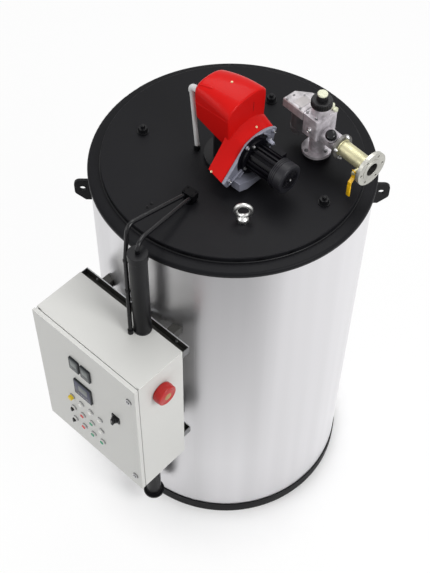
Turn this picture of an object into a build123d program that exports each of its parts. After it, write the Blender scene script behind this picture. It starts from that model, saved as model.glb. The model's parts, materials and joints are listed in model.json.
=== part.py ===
from build123d import *
import math
import os

os.makedirs("parts", exist_ok=True)

# Upright heater with a top burner, a gas train and a control cabinet. Millimetres, +Z up,
# origin at the centre of the base on the floor.

# Shared allowances
overrun = 5
seat_gap = 0.3
pin_play = 0.3
turn_gap = 0.6

# Base pan, insulated jacket, top rim and lid
jacket_r = 592
jacket_wall = 60
jacket_h = 1905
base_lip = 5
base_h = 70
base_wall = 20
base_floor = 8
base_edge = 3
rim_lip = 8
rim_ledge = 112
rim_h = 23
rim_skirt_drop = 3
rim_fall = 5
rim_shoulder = 12
rim_play = 0.5
lid_inset = 47
lid_t = 25
lid_edge = 4

# Cap nuts and eyebolt on the lid: places on the deck
nut_left_x = -378
nut_left_y = 119
nut_front_x = 366
nut_front_y = -246
nut_rear_x = 155
nut_rear_y = 329
nut_washer_r = 24
nut_washer_t = 5
nut_r = 20
nut_h = 20
nut_stud_r = 9
nut_stud_h = 14
eyebolt_x = 47
eyebolt_y = -348
eyebolt_collar_r = 24
eyebolt_collar_h = 12
eyebolt_neck_r = 13
eyebolt_neck_h = 12
eyebolt_ring_r = 31
eyebolt_bar_r = 9

# Lifting lugs on the jacket
lug_azimuth = 1.5
lug_reach = 76
lug_t = 14
lug_low_z = 1749
lug_high_z = 1866
lug_hole_r = 13
lug_hole_z = 1818
lug_hole_out = 41
lug_corner = 26
lug_slope_h = 42
lug_slope_w = 44

# Burner: x runs along the motor, from the boiler's centre line
burner_azimuth = -42
flange_r = 120
flange_t = 18
neck_low_r = 82
neck_high_w = 112
neck_high_d = 160
neck_corner = 30
neck_top_z = 2240
hood_bottom_inset = 7
hood_crease_z = 2312
hood_full_share = 0.62
hood_edge = 9
hood_tail_edge = 16
hood_tail_x = -125
hood_tail_left_y = -102
hood_tail_right_y = 78
hood_tail_floor_z = 2232
hood_tail_left_z = 2362
hood_tail_right_z = 2318
hood_tail_crown_y = -42
hood_tail_crown_z = 2400
hood_waist_x = -40
hood_waist_left_y = -101
hood_waist_right_y = 106
hood_waist_floor_z = 2200
hood_waist_left_z = 2342
hood_waist_right_z = 2326
hood_waist_crown_y = -2
hood_waist_crown_z = 2398
hood_front_x = 60
hood_front_left_y = -98
hood_front_right_y = 118
hood_front_floor_z = 2165
hood_front_left_z = 2318
hood_front_right_z = 2338
hood_front_crown_y = 28
hood_front_crown_z = 2376

# Fan scroll in front of the hood, its cast plate and the motor
scroll_back_x = 41
scroll_front_x = 115
scroll_rise = 45
scroll_left_rise = 25
scroll_left_shift = 20
scroll_toe_rise = 26
scroll_left_y = -63
scroll_left_z = 2210
scroll_crown_y = 15
scroll_crown_z = 2221
scroll_right_y = 109
scroll_right_z = 2187
scroll_toe_y = -188
scroll_toe_z = 2086
scroll_heel_y = -172
scroll_heel_z = 2066
scroll_low_y = 60
scroll_low_z = 2052
cast_plate_t = 15
cast_plate_lip = 4
cast_foot_x = 46
cast_foot_z = 2034
cast_foot_near_y = -150
cast_foot_far_y = -18
cast_foot_top_z = 2094
motor_y = -26
motor_z = 2140
motor_flange_r = 76
motor_flange_t = 16
motor_core_r = 50
motor_fin_r = 59
motor_fin_t = 7
motor_fin_count = 16
motor_body_l = 118
motor_cowl_r = 63
motor_cowl_l = 62
motor_cowl_edge = 8
motor_grille_r = 44
motor_grille_depth = 4
motor_box_w = 62
motor_box_l = 66
motor_box_h = 26

# White drain hose from the hood to the lid
hose_r = 9.5
hose_wall = 2
hose_foot_x = -149
hose_foot_y = 33
hose_foot_r = 14
hose_foot_h = 22
hose_lean_x = -21
hose_lean_y = 17
hose_top_z = 2326
elbow_r = 13
elbow_bend = 17
elbow_leg = 24

# Gas train: x runs along the inlet tube, from the valve's centre line
gas_azimuth = -47
gas_x = 340
gas_y = 24
stub_r = 54
stub_h = 25
valve_flange_r = 62
valve_flange_t = 13
valve_neck_r = 33
valve_block_l = 80
valve_block_w = 114
valve_block_z = 2156
valve_top_z = 2258
valve_block_edge = 7
outlet_z = 2165
outlet_r = 36
collar_r = 38
collar_h = 38
knob_r = 42
knob_h = 30
knob_edge = 5
knob_hub_r = 23
knob_hub_h = 24
cap_r = 21
cap_h = 8
actuator_reach = 117
actuator_tip_w = 66
actuator_slant = 56
actuator_h = 42
actuator_edge = 5
canister_x = -95
canister_y = -8
canister_r = 40
canister_h = 116
canister_edge = 6
port_x = 88
port_tilt = 28
port_boss_r = 27
port_boss_l = 42
port_plug_r = 23
port_plug_l = 24
tube_near_x = 122
tube_near_r = 52
tube_near_t = 14
tube_r = 33
tube_bore_r = 27
tube_face_x = 295
tube_face_r = 75
tube_face_t = 16
tube_bolt_pcd = 118
tube_bolt_count = 6
tube_bolt_r = 5.5
lever_x = 257
lever_z = 2158
stem_r = 9
stem_reach = 58
stem_pin_r = 5
stem_pin_l = 12
lever_t = 4
lever_w = 16
lever_hub_r = 11
lever_l = 118
lever_offset = 16
lever_knee_share = 0.4

# Cabinet: x to the right along its face, y inwards from its back, z up from its bottom
cabinet_azimuth = 229.1
cabinet_stand = 48
cabinet_side = 19
cabinet_z = 800
cabinet_w = 600
cabinet_h = 800
cabinet_d = 246
cabinet_sheet = 3
cabinet_lip = 24
seam = 7
door_t = 20
door_sheet = 3
plate_margin = 34
plate_t = 3
plate_stand = 20
plate_stud_r = 8

# Door hinge, hidden inside the door's left edge
hinge_in = 8
hinge_deep = 11
hinge_inset_z = 120
hinge_arm_h = 16
hinge_arm_w = 6
hinge_pin_r = 3
hinge_ear_t = 5
hinge_ear_gap = 1
hinge_ear_w = 14
hinge_relief = 5
hinge_window_gap = 2

# Door instruments: x from the door's left edge or in from its right one, heights as shares of it
small_meter_w = 56
small_meter_h = 80
small_meter_x = 238
small_meter_pitch = 68
small_meter_z_share = 0.79125
main_meter_w = 104
main_meter_h = 106
main_meter_x = 273
main_meter_z_share = 0.5825
meter_proud = 9
meter_depth = 52
meter_body_inset = 4
meter_edge = 3
meter_screen_margin = 8
meter_screen_depth = 2
pilot_x = 184
pilot_pitch_x = 59
pilot_z_share = 0.41
pilot_pitch_z = 93
pilot_bezel_r = 15
pilot_bezel_t = 5
pilot_body_r = 11
pilot_body_l = 44
pilot_lens_r = 11
pilot_lens_h = 8
pilot_lens_edge = 3
button_r = 13
button_h = 14
switch_bar_w = 8
switch_bar_h = 6
selector_in = 130
selector_z_share = 0.58125
selector_plate_w = 44
selector_plate_t = 5
selector_body_r = 16
selector_body_l = 40
selector_disc_r = 17
selector_disc_t = 8
selector_bar_l = 40
selector_bar_w = 11
selector_bar_h = 14
lock_in = 37
lock_drop = 100
lock_low_z = 83
lock_r = 14
lock_t = 7
lock_barrel_r = 10
lock_barrel_l = 26
lock_key_r = 6
lock_key_depth = 4
sounder_deep_share = 0.537
sounder_drop = 137
sounder_r = 48
sounder_l = 44
sounder_foot_r = 42
sounder_foot_l = 6
sounder_edge = 6

# Rails that carry the cabinet on the jacket
rail_deep = 40
rail_h = 44
rail_sheet = 4
rail_drop = 50
rail_low_z = 120
rail_foot_w = 40
rail_foot_apart = 380

# Cable riser above the cabinet, the duct below it and the two conduits
riser_in = 27
riser_side = 120
riser_r = 37
riser_wall = 4
riser_top_z = 2085
riser_collar_r = 41
riser_collar_h = 34
riser_cap_t = 6
duct_low_z = 190
duct_flange_r = 52
duct_flange_t = 12
fitting_x = -164
fitting_y = -252
fitting_foot_r = 28
fitting_foot_t = 6
fitting_stem_r = 18
fitting_stem_h = 12
fitting_w = 58
fitting_l = 40
fitting_h = 32
fitting_edge = 6
fitting_heading = 234
conduit_r = 9
conduit_apart = 27
gland_r = 12
gland_h = 22
conduit_rise = 69
left_knee_back = 20
left_knee_side = 19
left_drop_side = 48
left_drop_fall = 143
left_foot_in = 76
left_foot_side = 100
right_knee_back = 20
right_knee_side = 105
conduit_knee = 40
conduit_bend = 28

# Rear connections: smoke outlet and the two oil nozzles
rear_azimuth = 90
smoke_z = 1690
smoke_r = 102
smoke_wall = 3
smoke_reach = 110
smoke_band_r = 116
smoke_band_t = 12
nozzle_r = 30
nozzle_bore_r = 26
nozzle_root = 4
nozzle_reach = 120
nozzle_flange_r = 82
nozzle_flange_t = 18
nozzle_pcd = 125
nozzle_bolts = 4
nozzle_bolt_r = 9
nozzle_high_z = 1330
nozzle_low_z = 330

# Sizes, levels and places that follow from the ones above
base_r = jacket_r + base_lip
rim_lip_r = jacket_r + rim_lip
rim_bore_r = jacket_r - rim_ledge
lid_r = jacket_r - lid_inset
cabinet_back = jacket_r + cabinet_stand
riser_out = cabinet_back + riser_in
rim_z = base_h + jacket_h
lid_z = rim_z + rim_h
deck_z = lid_z + lid_t
nut_places = [
    Vector(nut_left_x, nut_left_y),
    Vector(nut_front_x, nut_front_y),
    Vector(nut_rear_x, nut_rear_y),
]
hose_foot_place = Vector(hose_foot_x, hose_foot_y)
gas_place = Vector(gas_x, gas_y)
selector_x = cabinet_w - selector_in
selector_z = cabinet_h * selector_z_share
flat = (Align.CENTER, Align.CENTER, Align.MIN)


def around(azimuth, height=0):
    """Plane on the boiler's axis: x points out at the azimuth, z is up."""
    angle = math.radians(azimuth)
    return Plane(origin=(0, 0, height), x_dir=(math.cos(angle), math.sin(angle), 0), z_dir=(0, 0, 1))


def across(plane, x, y=0, z=0):
    """Plane square to a local x axis: its own x is the local y and its y is up."""
    return Plane(origin=plane.from_local_coords((x, y, z)), x_dir=plane.y_dir, z_dir=plane.x_dir)


def upright(plane, x=0, y=0, z=0):
    """Plane standing along a local x axis: its own x is the local x and its y is up."""
    return Plane(origin=plane.from_local_coords((x, y, z)), x_dir=plane.x_dir, z_dir=-plane.y_dir)


def level(plane, z, x=0, y=0):
    """Level plane at a height, turned as the given plane is."""
    return Plane(origin=plane.from_local_coords((x, y, z)), x_dir=plane.x_dir, z_dir=(0, 0, 1))


def on_deck(place, z=0):
    """Level plane at a place on the lid."""
    return Plane(origin=(place.X, place.Y, deck_z + z))


def save(piece, node):
    """Label a finished piece and write it as its own file."""
    piece.part.label = node
    export_step(piece.part, f"parts/{node}.step")


burner = around(burner_azimuth)
gas = Plane(origin=(gas_place.X, gas_place.Y, 0), x_dir=around(gas_azimuth).x_dir, z_dir=(0, 0, 1))
outward = around(cabinet_azimuth)
cabinet = Plane(
    origin=outward.from_local_coords((cabinet_back, cabinet_side, cabinet_z)),
    x_dir=outward.y_dir,
    z_dir=(0, 0, 1),
)
cabinet_left = -cabinet_w / 2
door_back_y = -cabinet_d - seam
door_front_y = door_back_y - door_t
door_skin_y = door_front_y + door_sheet


def on_door(x, z, y=door_front_y):
    """Plane on the door's face, at a place from its left edge and its bottom, facing out."""
    return upright(cabinet, cabinet_left + x, y, z)


# Base pan and jacket
with BuildPart() as base_pan:
    with BuildSketch(Plane.XZ):
        with BuildLine():
            Polyline(
                (0, 0),
                (base_r, 0),
                (base_r, base_h),
                (base_r - base_wall, base_h),
                (base_r - base_wall, base_floor),
                (0, base_floor),
                close=True,
            )
        make_face()
    revolve(axis=Axis.Z)
    fillet(base_pan.edges().filter_by(GeomType.CIRCLE).sort_by(SortBy.RADIUS)[-2:], base_edge)
save(base_pan, "base_pan")

with BuildPart() as jacket:
    with BuildSketch(Plane.XY.offset(base_h)):
        Circle(jacket_r)
        Circle(jacket_r - jacket_wall, mode=Mode.SUBTRACT)
    extrude(amount=jacket_h)
save(jacket, "jacket")

# Top rim and lid
with BuildPart() as top_rim:
    with BuildSketch(Plane.XZ) as rim_face:
        with BuildLine():
            Polyline(
                (rim_bore_r, rim_z),
                (jacket_r + rim_play, rim_z),
                (jacket_r + rim_play, rim_z - rim_skirt_drop),
                (rim_lip_r, rim_z - rim_skirt_drop),
                (rim_lip_r, lid_z - rim_fall),
                (lid_r, lid_z),
                (rim_bore_r, lid_z),
                close=True,
            )
        make_face()
        fillet(rim_face.vertices().group_by(Axis.X)[-1].sort_by(Axis.Y)[-1], rim_shoulder)
    revolve(axis=Axis.Z)
save(top_rim, "top_rim")

with BuildPart() as lid:
    with BuildSketch(Plane.XY.offset(lid_z)):
        Circle(lid_r)
    extrude(amount=lid_t)
    fillet(lid.faces().sort_by(Axis.Z)[-1].edges(), lid_edge)
save(lid, "lid")

# Cap nuts on the lid
with BuildPart() as lid_nuts:
    for place in nut_places:
        with BuildSketch(on_deck(place)):
            Circle(nut_washer_r)
        extrude(amount=nut_washer_t)
        with BuildSketch(on_deck(place, nut_washer_t)):
            RegularPolygon(nut_r, 6)
        extrude(amount=nut_h)
        with BuildSketch(on_deck(place, nut_washer_t + nut_h)):
            Circle(nut_stud_r)
        extrude(amount=nut_stud_h)
    fillet(lid_nuts.faces().group_by(Axis.Z)[-1].edges(), nut_stud_r / 2)
save(lid_nuts, "lid_nuts")

# Eyebolt, its ring standing square to the front
ring_z = eyebolt_collar_h + eyebolt_neck_h + eyebolt_ring_r
with BuildPart(on_deck(Vector(eyebolt_x, eyebolt_y))) as eyebolt:
    Cylinder(eyebolt_collar_r, eyebolt_collar_h, align=flat)
    with Locations((0, 0, eyebolt_collar_h)):
        Cone(eyebolt_collar_r, eyebolt_neck_r, eyebolt_neck_h, align=flat)
    with Locations(Location((0, 0, ring_z), (90, 0, 0))):
        Torus(eyebolt_ring_r, eyebolt_bar_r)
save(eyebolt, "eyebolt")

# Lifting lugs
for node, azimuth in (("lifting_lug_right", lug_azimuth), ("lifting_lug_left", lug_azimuth + 180)):
    lug_plane = upright(around(azimuth))
    lug_out = jacket_r + lug_reach
    with BuildPart() as lug:
        with BuildSketch(lug_plane) as lug_face:
            with BuildLine():
                Polyline(
                    (jacket_r, lug_low_z),
                    (lug_out - lug_slope_w, lug_low_z),
                    (lug_out, lug_low_z + lug_slope_h),
                    (lug_out, lug_high_z),
                    (jacket_r, lug_high_z),
                    close=True,
                )
            make_face()
            fillet(lug_face.vertices().sort_by(Axis.X)[-2:], lug_corner)
            with Locations((jacket_r + lug_hole_out, lug_hole_z)):
                Circle(lug_hole_r, mode=Mode.SUBTRACT)
        extrude(amount=lug_t / 2, both=True)
    save(lug, node)

# Burner hood: an arched cover that is lofted from its tail over its waist to its front


def hood_outline(left_y, right_y, floor_z, left_z, right_z, crown_y, crown_z):
    """Arched cross-section of the hood, with a crease low on each side."""
    left_lift = (crown_z - left_z) * hood_full_share
    right_lift = (crown_z - right_z) * hood_full_share
    left_run = (crown_y - left_y) * hood_full_share
    right_run = (right_y - crown_y) * hood_full_share
    with BuildLine() as outline:
        Polyline(
            (right_y, right_z),
            (right_y, hood_crease_z),
            (right_y - hood_bottom_inset, floor_z),
            (left_y + hood_bottom_inset, floor_z),
            (left_y, hood_crease_z),
            (left_y, left_z),
        )
        Bezier((left_y, left_z), (left_y, left_z + left_lift), (crown_y - left_run, crown_z), (crown_y, crown_z))
        Bezier(
            (crown_y, crown_z),
            (crown_y + right_run, crown_z),
            (right_y, right_z + right_lift),
            (right_y, right_z),
        )
    return outline.edges()


with BuildPart() as burner_hood:
    with BuildSketch(across(burner, hood_tail_x)):
        make_face(
            hood_outline(
                hood_tail_left_y,
                hood_tail_right_y,
                hood_tail_floor_z,
                hood_tail_left_z,
                hood_tail_right_z,
                hood_tail_crown_y,
                hood_tail_crown_z,
            )
        )
    with BuildSketch(across(burner, hood_waist_x)):
        make_face(
            hood_outline(
                hood_waist_left_y,
                hood_waist_right_y,
                hood_waist_floor_z,
                hood_waist_left_z,
                hood_waist_right_z,
                hood_waist_crown_y,
                hood_waist_crown_z,
            )
        )
    with BuildSketch(across(burner, hood_front_x)):
        make_face(
            hood_outline(
                hood_front_left_y,
                hood_front_right_y,
                hood_front_floor_z,
                hood_front_left_z,
                hood_front_right_z,
                hood_front_crown_y,
                hood_front_crown_z,
            )
        )
    loft()
    hood_ends = burner_hood.faces().sort_by(Axis(burner.origin, burner.x_dir))
    fillet(hood_ends[-1].edges().filter_by(GeomType.LINE, reverse=True), hood_edge)
    hood_ends = burner_hood.faces().sort_by(Axis(burner.origin, burner.x_dir))
    fillet(hood_ends[0].edges().filter_by(GeomType.LINE, reverse=True), hood_tail_edge)
save(burner_hood, "burner_hood")

# Burner neck: a round flange on the lid that widens into a square body under the hood
with BuildPart() as burner_neck:
    with BuildSketch(level(burner, deck_z)):
        Circle(flange_r)
    extrude(amount=flange_t)
    with BuildSketch(level(burner, deck_z + flange_t)):
        Circle(neck_low_r)
    with BuildSketch(level(burner, neck_top_z)):
        RectangleRounded(neck_high_w, neck_high_d, neck_corner)
    loft()
    add(burner_hood.part, mode=Mode.SUBTRACT)
save(burner_neck, "burner_neck")


def scroll_outline(back_share, lip=0):
    """Outline of the fan scroll: a crown over the fan and a toe that runs down to the left."""
    left_y = scroll_left_y - scroll_left_shift * back_share
    left_z = scroll_left_z + scroll_left_rise * back_share + lip
    crown_z = scroll_crown_z + scroll_rise * back_share + lip
    right_z = scroll_right_z + scroll_rise * back_share + lip
    toe_rise = scroll_toe_rise * back_share
    with BuildLine() as outline:
        ThreePointArc((scroll_right_y + lip, right_z), (scroll_crown_y, crown_z), (left_y, left_z))
        Polyline(
            (left_y, left_z),
            (scroll_toe_y - lip, scroll_toe_z + toe_rise + lip),
            (scroll_heel_y - lip, scroll_heel_z + toe_rise - lip),
            (scroll_low_y + lip, scroll_low_z - lip),
            (scroll_right_y + lip, right_z),
        )
    return outline.edges()


with BuildPart() as burner_scroll:
    with BuildSketch(across(burner, scroll_back_x)):
        make_face(scroll_outline(1))
    with BuildSketch(across(burner, scroll_front_x)):
        make_face(scroll_outline(0))
    loft(ruled=True)
    add(burner_hood.part, mode=Mode.SUBTRACT)
    add(burner_neck.part, mode=Mode.SUBTRACT)
save(burner_scroll, "burner_scroll")

# Cast plate over the scroll's open side, with a foot below the motor
cast_face_x = scroll_front_x + cast_plate_t
with BuildPart() as motor_plate:
    with BuildSketch(across(burner, scroll_front_x)):
        make_face(scroll_outline(0, cast_plate_lip))
    extrude(amount=cast_plate_t)
    with BuildSketch(across(burner, cast_face_x)):
        with BuildLine():
            Polyline(
                (cast_foot_near_y, cast_foot_top_z),
                (cast_foot_near_y, scroll_low_z),
                (cast_foot_near_y + cast_foot_x, cast_foot_z),
                (cast_foot_far_y, cast_foot_z),
                (cast_foot_far_y, scroll_low_z),
                close=True,
            )
        make_face()
    extrude(amount=cast_foot_x)
    with BuildSketch(across(burner, cast_face_x, motor_y, motor_z)):
        Circle(motor_flange_r)
    extrude(amount=cast_foot_x, mode=Mode.SUBTRACT)
save(motor_plate, "motor_plate")

# Motor: flange, finned barrel with a terminal box, and the fan cowl
motor_axis = across(burner, cast_face_x, motor_y, motor_z)
with BuildPart() as burner_motor:
    with BuildSketch(motor_axis):
        Circle(motor_flange_r)
    extrude(amount=motor_flange_t)
    with BuildSketch(motor_axis.offset(motor_flange_t)):
        Circle(motor_core_r)
        with PolarLocations(0, motor_fin_count):
            Rectangle(motor_fin_r, motor_fin_t, align=(Align.MIN, Align.CENTER))
    extrude(amount=motor_body_l)
    with BuildSketch(motor_axis.offset(motor_flange_t + (motor_body_l - motor_box_l) / 2)):
        with Locations((motor_core_r, 0)):
            Rectangle(motor_box_h * 2, motor_box_w)
    extrude(amount=motor_box_l)
save(burner_motor, "burner_motor")

with BuildPart() as motor_cowl:
    with BuildSketch(motor_axis.offset(motor_flange_t + motor_body_l)):
        Circle(motor_cowl_r)
    extrude(amount=motor_cowl_l)
    cowl_end = motor_cowl.faces().sort_by(Axis(burner.origin, burner.x_dir))[-1]
    fillet(cowl_end.edges(), motor_cowl_edge)
    with BuildSketch(motor_axis.offset(motor_flange_t + motor_body_l + motor_cowl_l)):
        Circle(motor_grille_r)
    extrude(amount=-motor_grille_depth, mode=Mode.SUBTRACT)
save(motor_cowl, "motor_cowl")

# Drain hose: foot on the lid, the elbow into the hood's back, and the hose between them
hose_low = Vector(hose_foot_place.X, hose_foot_place.Y, deck_z + hose_foot_h)
hose_high = Vector(hose_foot_place.X + hose_lean_x, hose_foot_place.Y + hose_lean_y, hose_top_z)
with BuildPart(on_deck(hose_foot_place)) as hose_foot:
    Cylinder(hose_foot_r, hose_foot_h, align=flat)
save(hose_foot, "hose_foot")

elbow_corner = hose_high + Vector(0, 0, elbow_leg)
elbow_length = hood_tail_x - burner.to_local_coords(elbow_corner).X
with BuildPart() as hose_elbow:
    with BuildLine() as elbow_line:
        FilletPolyline(hose_high, elbow_corner, elbow_corner + burner.x_dir * elbow_length, radius=elbow_bend)
    with BuildSketch(Plane(origin=hose_high)):
        Circle(elbow_r)
    sweep(path=elbow_line.wire())
save(hose_elbow, "hose_elbow")

hose_run = hose_high - hose_low
hose_plane = Plane(origin=hose_low, z_dir=hose_run)
with BuildPart() as drain_hose:
    with BuildSketch(hose_plane.offset(-overrun)):
        Circle(hose_r)
        Circle(hose_r - hose_wall, mode=Mode.SUBTRACT)
    extrude(amount=hose_run.length + overrun * 2)
    add(hose_foot.part, mode=Mode.SUBTRACT)
    add(hose_elbow.part, mode=Mode.SUBTRACT)
save(drain_hose, "drain_hose")

# Gas train: stub on the lid and the valve casting
with BuildPart(on_deck(gas_place)) as gas_stub:
    Cylinder(stub_r, stub_h, align=flat)
save(gas_stub, "gas_stub")

valve_foot_z = deck_z + stub_h
port_plane = Plane(
    origin=gas.from_local_coords((port_x, 0, outlet_z)),
    x_dir=gas.x_dir,
    z_dir=gas.z_dir * math.cos(math.radians(port_tilt)) - gas.y_dir * math.sin(math.radians(port_tilt)),
)
with BuildPart() as gas_valve:
    with BuildSketch(level(gas, valve_foot_z)):
        Circle(valve_flange_r)
    extrude(amount=valve_flange_t)
    with BuildSketch(level(gas, valve_foot_z)):
        Circle(valve_neck_r)
    extrude(amount=valve_top_z - valve_foot_z)
    with BuildSketch(level(gas, valve_block_z)):
        RectangleRounded(valve_block_l, valve_block_w, valve_block_edge)
    extrude(amount=valve_top_z - valve_block_z)
    with BuildSketch(level(gas, valve_top_z)):
        Circle(collar_r)
    extrude(amount=collar_h)
    with BuildSketch(across(gas, 0, 0, outlet_z)):
        Circle(outlet_r)
    extrude(amount=tube_near_x)
    with BuildSketch(port_plane):
        Circle(port_boss_r)
    extrude(amount=port_boss_l)
save(gas_valve, "gas_valve")

with BuildPart() as port_plug:
    with BuildSketch(port_plane.offset(port_boss_l)):
        Circle(port_plug_r)
    extrude(amount=port_plug_l)
    fillet(port_plug.edges().sort_by(Axis(port_plane.origin, port_plane.z_dir))[-1], port_plug_l / 2)
save(port_plug, "port_plug")

# Valve knob and its cap
knob_z = valve_top_z + collar_h
with BuildPart() as valve_knob:
    with BuildSketch(level(gas, knob_z)):
        Circle(knob_r)
    extrude(amount=knob_h)
    fillet(valve_knob.edges().sort_by(Axis.Z)[-1], knob_edge)
    with BuildSketch(level(gas, knob_z + knob_h)):
        Circle(knob_hub_r)
    extrude(amount=knob_hub_h)
save(valve_knob, "valve_knob")

with BuildPart() as valve_cap:
    with BuildSketch(level(gas, knob_z + knob_h + knob_hub_h)):
        Circle(cap_r)
    extrude(amount=cap_h)
    fillet(valve_cap.edges().sort_by(Axis.Z)[-1], cap_h / 2)
save(valve_cap, "valve_cap")

# Actuator beside the valve block, slanted at its far corner, and the canister under it
block_back = -valve_block_l / 2
block_side = valve_block_w / 2
actuator_z = valve_top_z - actuator_h
with BuildPart() as valve_actuator:
    with BuildSketch(level(gas, actuator_z)) as actuator_face:
        with BuildLine():
            Polyline(
                (block_back, -block_side),
                (block_back, block_side),
                (block_back - actuator_reach + actuator_slant, block_side),
                (block_back - actuator_reach, actuator_tip_w - block_side),
                (block_back - actuator_reach, -block_side),
                close=True,
            )
        make_face()
    extrude(amount=actuator_h)
    chamfer(valve_actuator.faces().sort_by(Axis.Z)[-1].edges(), actuator_edge)
save(valve_actuator, "valve_actuator")

with BuildPart() as actuator_canister:
    with BuildSketch(level(gas, actuator_z, canister_x, canister_y)):
        Circle(canister_r)
    extrude(amount=-canister_h)
    fillet(actuator_canister.edges().sort_by(Axis.Z)[0], canister_edge)
save(actuator_canister, "actuator_canister")

# Inlet tube with two flanges slipped on it
with BuildPart() as gas_tube:
    with BuildSketch(across(gas, tube_near_x, 0, outlet_z)):
        Circle(tube_r)
        Circle(tube_bore_r, mode=Mode.SUBTRACT)
    extrude(amount=tube_face_x - tube_near_x)
save(gas_tube, "gas_tube")

with BuildPart() as tube_flanges:
    with BuildSketch(across(gas, tube_near_x, 0, outlet_z)):
        Circle(tube_near_r)
        Circle(tube_r + seat_gap, mode=Mode.SUBTRACT)
    extrude(amount=tube_near_t)
    with BuildSketch(across(gas, tube_face_x, 0, outlet_z)):
        Circle(tube_face_r)
        Circle(tube_r + seat_gap, mode=Mode.SUBTRACT)
        with PolarLocations(tube_bolt_pcd / 2, tube_bolt_count):
            Circle(tube_bolt_r, mode=Mode.SUBTRACT)
    extrude(amount=-tube_face_t)
save(tube_flanges, "tube_flanges")

# Shut-off lever on a stem at the tube's side; it hangs down when shut
lever_near_y = -stem_reach - turn_gap
lever_far_y = lever_near_y - lever_t
stem_face = upright(gas, lever_x, 0, lever_z)
with BuildPart() as lever_stem:
    with BuildSketch(stem_face):
        Circle(stem_r)
    extrude(amount=stem_reach)
    with BuildSketch(stem_face.offset(stem_reach)):
        Circle(stem_pin_r)
    extrude(amount=stem_pin_l)
    with BuildSketch(stem_face.offset(-lever_far_y + turn_gap)):
        RegularPolygon(stem_r, 6)
    extrude(amount=lever_t)
    with BuildSketch(across(gas, tube_near_x, 0, outlet_z)):
        Circle(tube_r)
    extrude(amount=tube_face_x - tube_near_x, mode=Mode.SUBTRACT)
save(lever_stem, "lever_stem")

lever_end_z = lever_z - lever_l
lever_knee_z = lever_z - lever_l * lever_knee_share
with BuildPart() as gas_lever:
    with BuildSketch(across(gas, lever_x)):
        with BuildLine():
            Polyline(
                (lever_near_y, lever_z + lever_hub_r),
                (lever_near_y, lever_knee_z + lever_offset),
                (lever_near_y - lever_offset, lever_knee_z),
                (lever_near_y - lever_offset, lever_end_z),
                (lever_far_y - lever_offset, lever_end_z),
                (lever_far_y - lever_offset, lever_knee_z + lever_t),
                (lever_far_y, lever_knee_z + lever_offset + lever_t),
                (lever_far_y, lever_z + lever_hub_r),
                close=True,
            )
        make_face()
    extrude(amount=lever_w / 2, both=True)
    with BuildSketch(stem_face):
        Circle(stem_pin_r + pin_play)
    extrude(amount=-lever_far_y + overrun, mode=Mode.SUBTRACT)
save(gas_lever, "gas_lever")

# Cabinet body: a sheet box with a turned lip round its open front
with BuildPart(cabinet) as cabinet_body:
    Box(cabinet_w, cabinet_d, cabinet_h, align=(Align.CENTER, Align.MAX, Align.MIN))
    with Locations((0, -cabinet_sheet, cabinet_sheet)):
        Box(
            cabinet_w - cabinet_sheet * 2,
            cabinet_d - cabinet_sheet * 2,
            cabinet_h - cabinet_sheet * 2,
            align=(Align.CENTER, Align.MAX, Align.MIN),
            mode=Mode.SUBTRACT,
        )
    with BuildSketch(upright(cabinet, 0, -cabinet_d, cabinet_h / 2)):
        Rectangle(cabinet_w - cabinet_lip * 2, cabinet_h - cabinet_lip * 2)
    extrude(amount=-cabinet_sheet, mode=Mode.SUBTRACT)
save(cabinet_body, "cabinet_body")

with BuildPart(cabinet) as mounting_plate:
    plate_w = cabinet_w - plate_margin * 2
    plate_h = cabinet_h - plate_margin * 2
    with Locations((0, -cabinet_sheet - plate_stand, plate_margin)):
        Box(plate_w, plate_t, plate_h, align=(Align.CENTER, Align.MAX, Align.MIN))
    with BuildSketch(upright(cabinet, 0, -cabinet_sheet, cabinet_h / 2)):
        with GridLocations(plate_w - plate_margin, plate_h - plate_margin, 2, 2):
            Circle(plate_stud_r)
    extrude(amount=plate_stand)
save(mounting_plate, "mounting_plate")

# Rails behind the cabinet: channels open at the top, on feet that fit the jacket's curve
with BuildPart() as cabinet_rails:
    for rail_z in (cabinet_h - rail_drop, rail_low_z):
        with BuildSketch(across(cabinet, cabinet_left, 0, rail_z)):
            Rectangle(rail_deep, rail_h, align=Align.MIN)
            with Locations((rail_sheet, rail_sheet)):
                Rectangle(rail_deep - rail_sheet * 2, rail_h, align=Align.MIN, mode=Mode.SUBTRACT)
        extrude(amount=cabinet_w)
        with BuildSketch(level(cabinet, rail_z, 0, rail_deep)):
            with GridLocations(rail_foot_apart, 0, 2, 1):
                Rectangle(rail_foot_w, cabinet_back - rail_deep, align=(Align.CENTER, Align.MIN))
        extrude(amount=rail_h)
        with BuildSketch(Plane.XY.offset(cabinet_z + rail_z)):
            Circle(jacket_r + seat_gap)
        extrude(amount=rail_h, mode=Mode.SUBTRACT)
save(cabinet_rails, "cabinet_rails")

# Hinge arms on the cabinet, each with a pin that stands in the door's ears
hinge_x = cabinet_left + hinge_in
hinge_y = door_front_y + hinge_deep
hinge_levels = [hinge_inset_z, cabinet_h - hinge_inset_z]
ear_low = hinge_arm_h / 2 + hinge_ear_gap
pin_half = ear_low + hinge_ear_t + hinge_ear_gap
with BuildPart() as hinge_arms:
    for z in hinge_levels:
        with BuildSketch(level(cabinet, z - hinge_arm_h / 2, hinge_x, -cabinet_d)):
            Rectangle(hinge_arm_w, -cabinet_d - hinge_y, align=(Align.CENTER, Align.MAX))
            with Locations((0, hinge_y + cabinet_d)):
                Circle(hinge_arm_w / 2)
        extrude(amount=hinge_arm_h)
        with BuildSketch(level(cabinet, z, hinge_x, hinge_y)):
            Circle(hinge_pin_r)
        extrude(amount=pin_half, both=True)
save(hinge_arms, "hinge_arms")

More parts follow.
